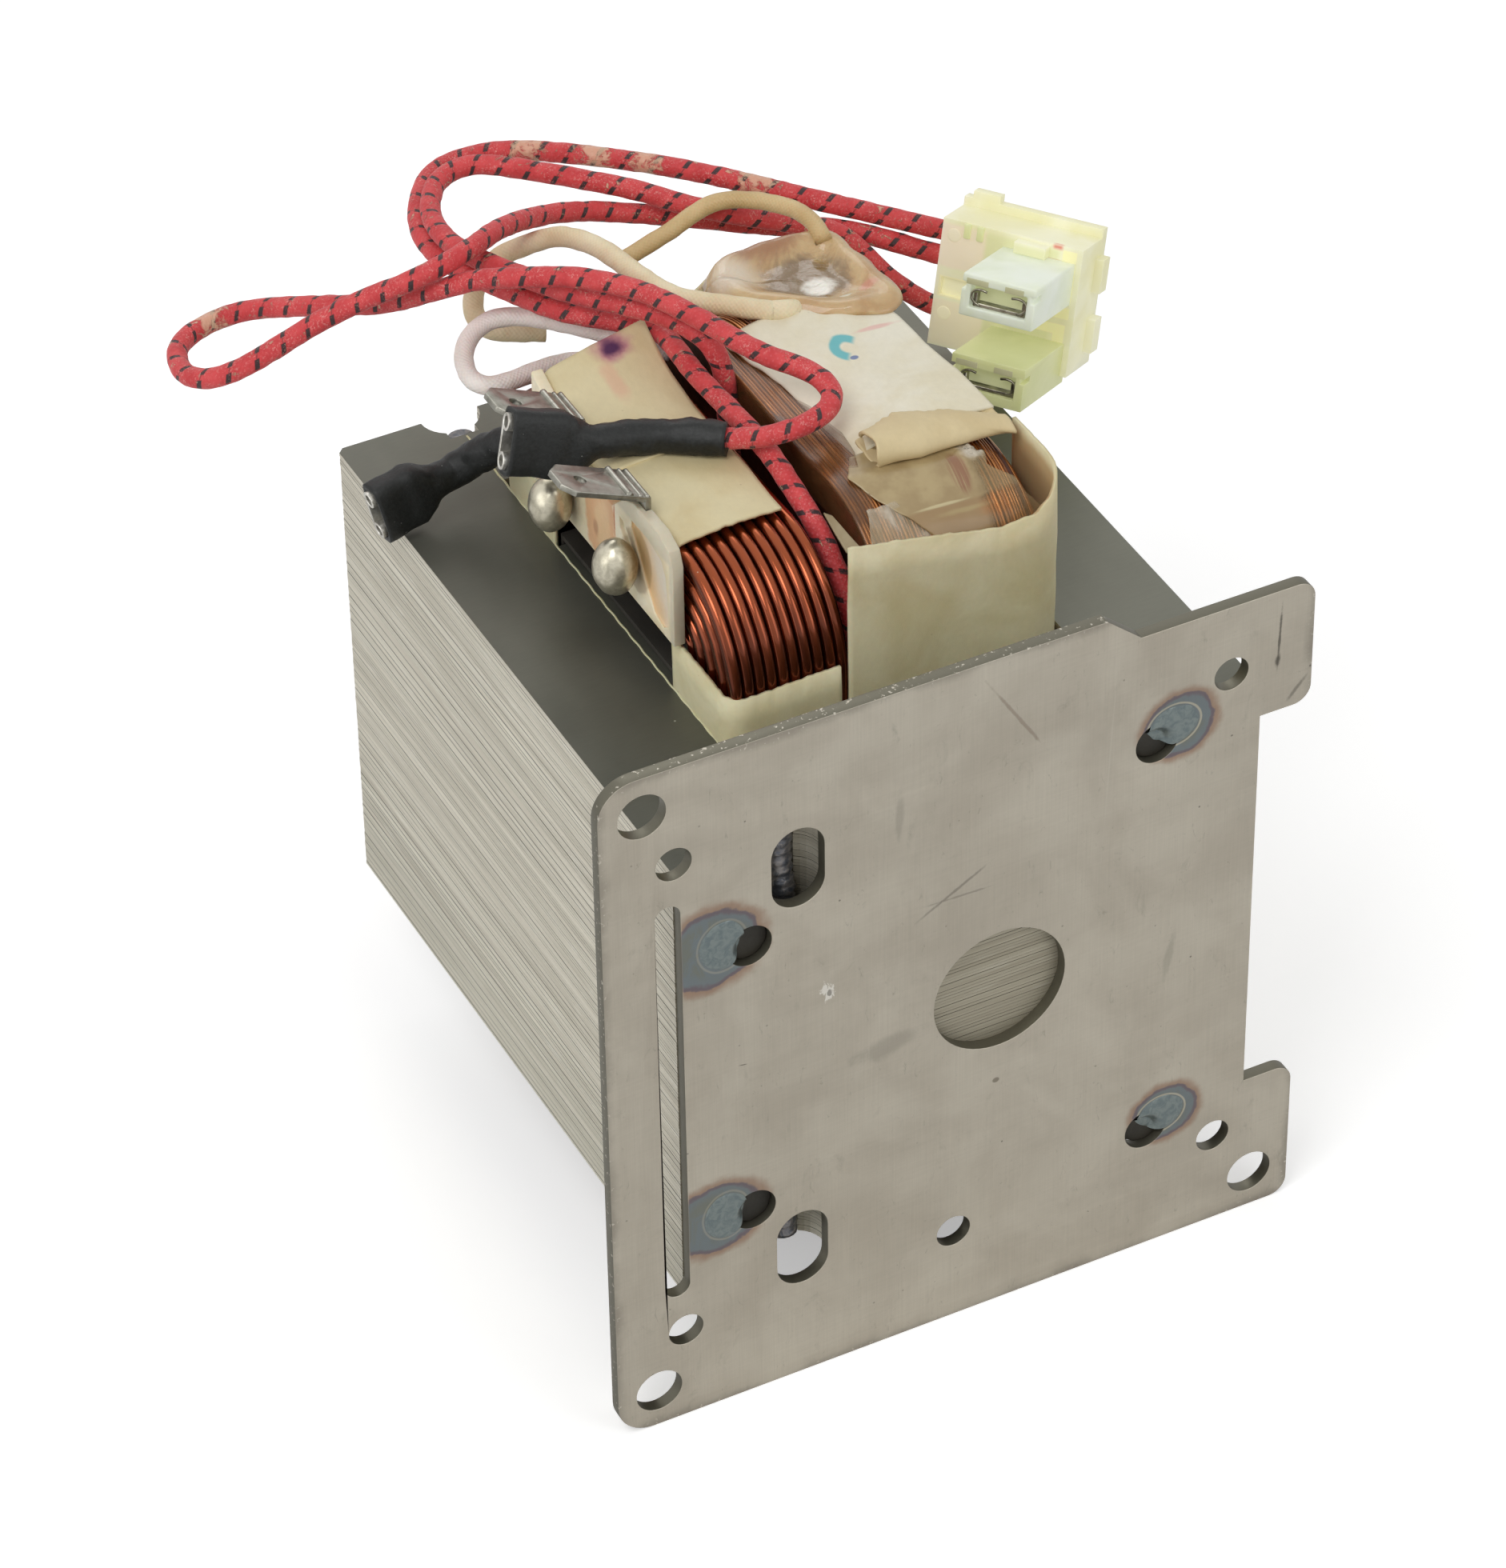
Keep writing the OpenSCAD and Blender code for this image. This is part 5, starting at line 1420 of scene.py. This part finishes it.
def make_connector():
    yellow, metal = "yellow_nylon", "dark_contact"
    softened("connector_block", yellow, "pale_nylon", 0.3, 3)
    softened("housing_upper", "green_nylon", "green_nylon", 0.25, 2)
    softened("housing_lower", "olive_nylon", "green_nylon", 0.25, 2)
    for node in ("housing_contact_upper", "housing_contact_lower"):
        softened(node, metal, "tinned_contact", 0.08, 1)
    block_part("window_panel", (0.6, 0.8, 6.9), (5.4, 1.5, 9.5), yellow, "pale_nylon")
    for i, (x0, x1) in enumerate(((3.1, 4.0), (4.9, 5.8))):
        block_part("face_rib_%d" % i, (x0, -0.35, 15.3), (x1, 0.3, 17.3), "rib_nylon",
                   "pale_nylon")
    for i, z in enumerate((15.3, 4.6)):
        disc = blob("ejector_mark_%d" % i, (1.75, -0.02, z), (0.92, 0.12, 0.92), yellow, 0.0)
        for v in disc.data.vertices:
            v.co = metres(BLOCK_TURN @ (Vector(v.co) / MM + CORNER) + BLOCK_AT)
        dress(disc, "pale_nylon")
    for label, low in (("upper", 9.7), ("lower", -1.2)):
        front = -13.4
        for i, (x0, x1) in enumerate(((9.1, 12.1), (14.4, 17.0))):
            block_part("housing_notch_%s_%d" % (label, i), (x0, front - 0.06, low + 4.35),
                       (x1, front + 0.4, low + 5.15), "notch_nylon", "green_nylon", 0.05)
        block_part("slot_back_" + label, (9.7, front + 1.9, low + 1.9),
                   (17.5, front + 2.3, low + 4.4), "rib_nylon", "green_nylon", 0.05)
        curls = []
        for way in (-1, 1):
            route = [BLOCK_TURN @ Vector((13.6 + way * a, front + 0.5, low + 1.5 + b)) + BLOCK_AT
                     for a, b in ((2.6, 0.15), (3.3, 0.45), (3.75, 1.0), (3.75, 1.6), (3.3, 2.1),
                                  (2.5, 2.25), (1.7, 2.1))]
            curls.append(tube("curl", smooth_route(route, 0.25), 0.34, metal, 10))
        dress(joined("contact_curls_" + label, curls), "tinned_contact")


def lay_floor():
    """white floor that glows for the camera, so that it meets the background"""
    f = Finish("studio_floor", roughness=0.9, specular_ior_level=0.1,
               base_color=tone(238, 238, 238), emission_color=(1, 1, 1, 1))
    f.set(emission_strength=f.node("LightPath", "Is Camera Ray") * 0.4)
    half = 6.0
    mesh = bpy.data.meshes.new("studio_floor")
    mesh.from_pydata([(-half, -half, 0), (half, -half, 0), (half, half, 0), (-half, half, 0)], [],
                     [(0, 1, 2, 3)])
    mesh.materials.append(f.material)
    add_object("studio_floor", mesh)


point_camera()
light_studio()
FINISHES = dict((
    plate_steel(),
    core_iron(),
    weld_steel("joint_bead", (96, 100, 108), (142, 138, 136), 0.1),
    weld_steel("plug_bead", (112, 124, 126), (132, 142, 140), 0.03),
    # painted shade for the holes beside the plug welds
    insulating_paper("painted_hole_shade", (44, 40, 30), (28, 25, 18)),
    enamelled_copper(),
    fine_wire(),
    shaded_winding_fill(),
    insulating_paper("liner_paper", (222, 214, 178), (206, 195, 152), sheer=0.15,
                     stained_shaded_wall=True),
    insulating_paper(
        "flap_paper", (220, 208, 168), (210, 193, 148),
        (((36.4, 69.0), (3.6, 2.6), (176, 70, 130), 0.7),
         ((36.4, 69.0), (2.2, 1.6), (66, 20, 70), 0.98),
         ((34.6, 64.5), (1.6, 4.6), (224, 160, 140), 0.4))),
    insulating_paper(
        "cover_paper", (236, 231, 212), (226, 217, 188),
        (((68.0, 58.0), (4.0, 0.6), (226, 150, 150), 0.5),), hook=True),
    insulating_paper("roll_paper", (222, 204, 162), (210, 190, 146)),
    insulating_paper("groove_card", (172, 158, 128), (148, 130, 98)),
    insulating_paper("brown_card", (120, 80, 44), (84, 54, 30)),
    red_braid(),
    plain_cord("white_silicone", (244, 236, 230), (232, 222, 214), 0.5),
    plain_cord("cream_sleeving", (240, 226, 192), (226, 206, 166), 0.55),
    plain_cord("tan_sleeving", (214, 188, 138), (196, 166, 114), 0.5),
    black_tube(),
    tinned("tinned_tab", (160, 158, 148), (132, 130, 120), 0.22),
    tinned("tinned_contact", (220, 218, 210), (170, 166, 156), 0.25),
    tinned("dark_contact", (170, 166, 150), (96, 92, 78), 0.22),
    solder_metal(),
    board_laminate(),
    nylon("yellow_nylon", (228, 226, 196), (218, 214, 168), (
        ((-0.5, 10.6, 6.6, 17.0), (232, 212, 196), 0.8, 0.5),
        ((-0.5, 0.0, 7.4, 6.6), (232, 216, 192), 0.75, 0.5),
        ((0.5, 6.8, 5.5, 9.6), (238, 226, 172), 0.8, 0.0),
        ((5.8, 9.2, 16.6, 17.0), (206, 208, 150), 0.6, 0.6),
        ((7.0, 0.0, 16.6, 9.0), (204, 206, 140), 0.6, 0.6),
        ((16.9, 10.1, 18.8, 16.9), (246, 236, 176), 0.95, 0.0),
        ((15.6, 7.8, 18.8, 9.3), (246, 236, 176), 0.9, 0.0),
        ((17.0, 0.7, 18.5, 6.9), (246, 236, 176), 0.95, 0.0),
        ((14.6, 5.6, 18.4, 6.9), (246, 236, 176), 0.8, 0.0),
        ((15.3, 16.7, 16.9, 17.6), (206, 44, 34), 0.9, 0.35),
        ((14.7, 14.7, 16.7, 15.5), (214, 96, 76), 0.8, 0.25))),
    nylon("green_nylon", (222, 228, 214), (206, 214, 186)),
    nylon("olive_nylon", (204, 206, 156), (190, 194, 136)),
    nylon("rib_nylon", (214, 218, 168), (206, 210, 156)),
    nylon("notch_nylon", (176, 172, 142), (160, 158, 128)),
    torn_film(),
    sheer_film("pale_film", (206, 190, 156), (226, 216, 196), 0.3),
    sheer_film("brown_film", (142, 98, 58), (104, 68, 40), 0.26),
    # painted shade: the primary former under the board is dark
    insulating_paper("former_in_shade", (56, 53, 47), (40, 38, 33)),
    varnished_paper(),
))
make_leads()
make_core()
joint_line()
make_windings()
make_liners()
make_primary_papers()
make_secondary_papers()
make_terminals()
make_connector()
lay_floor()
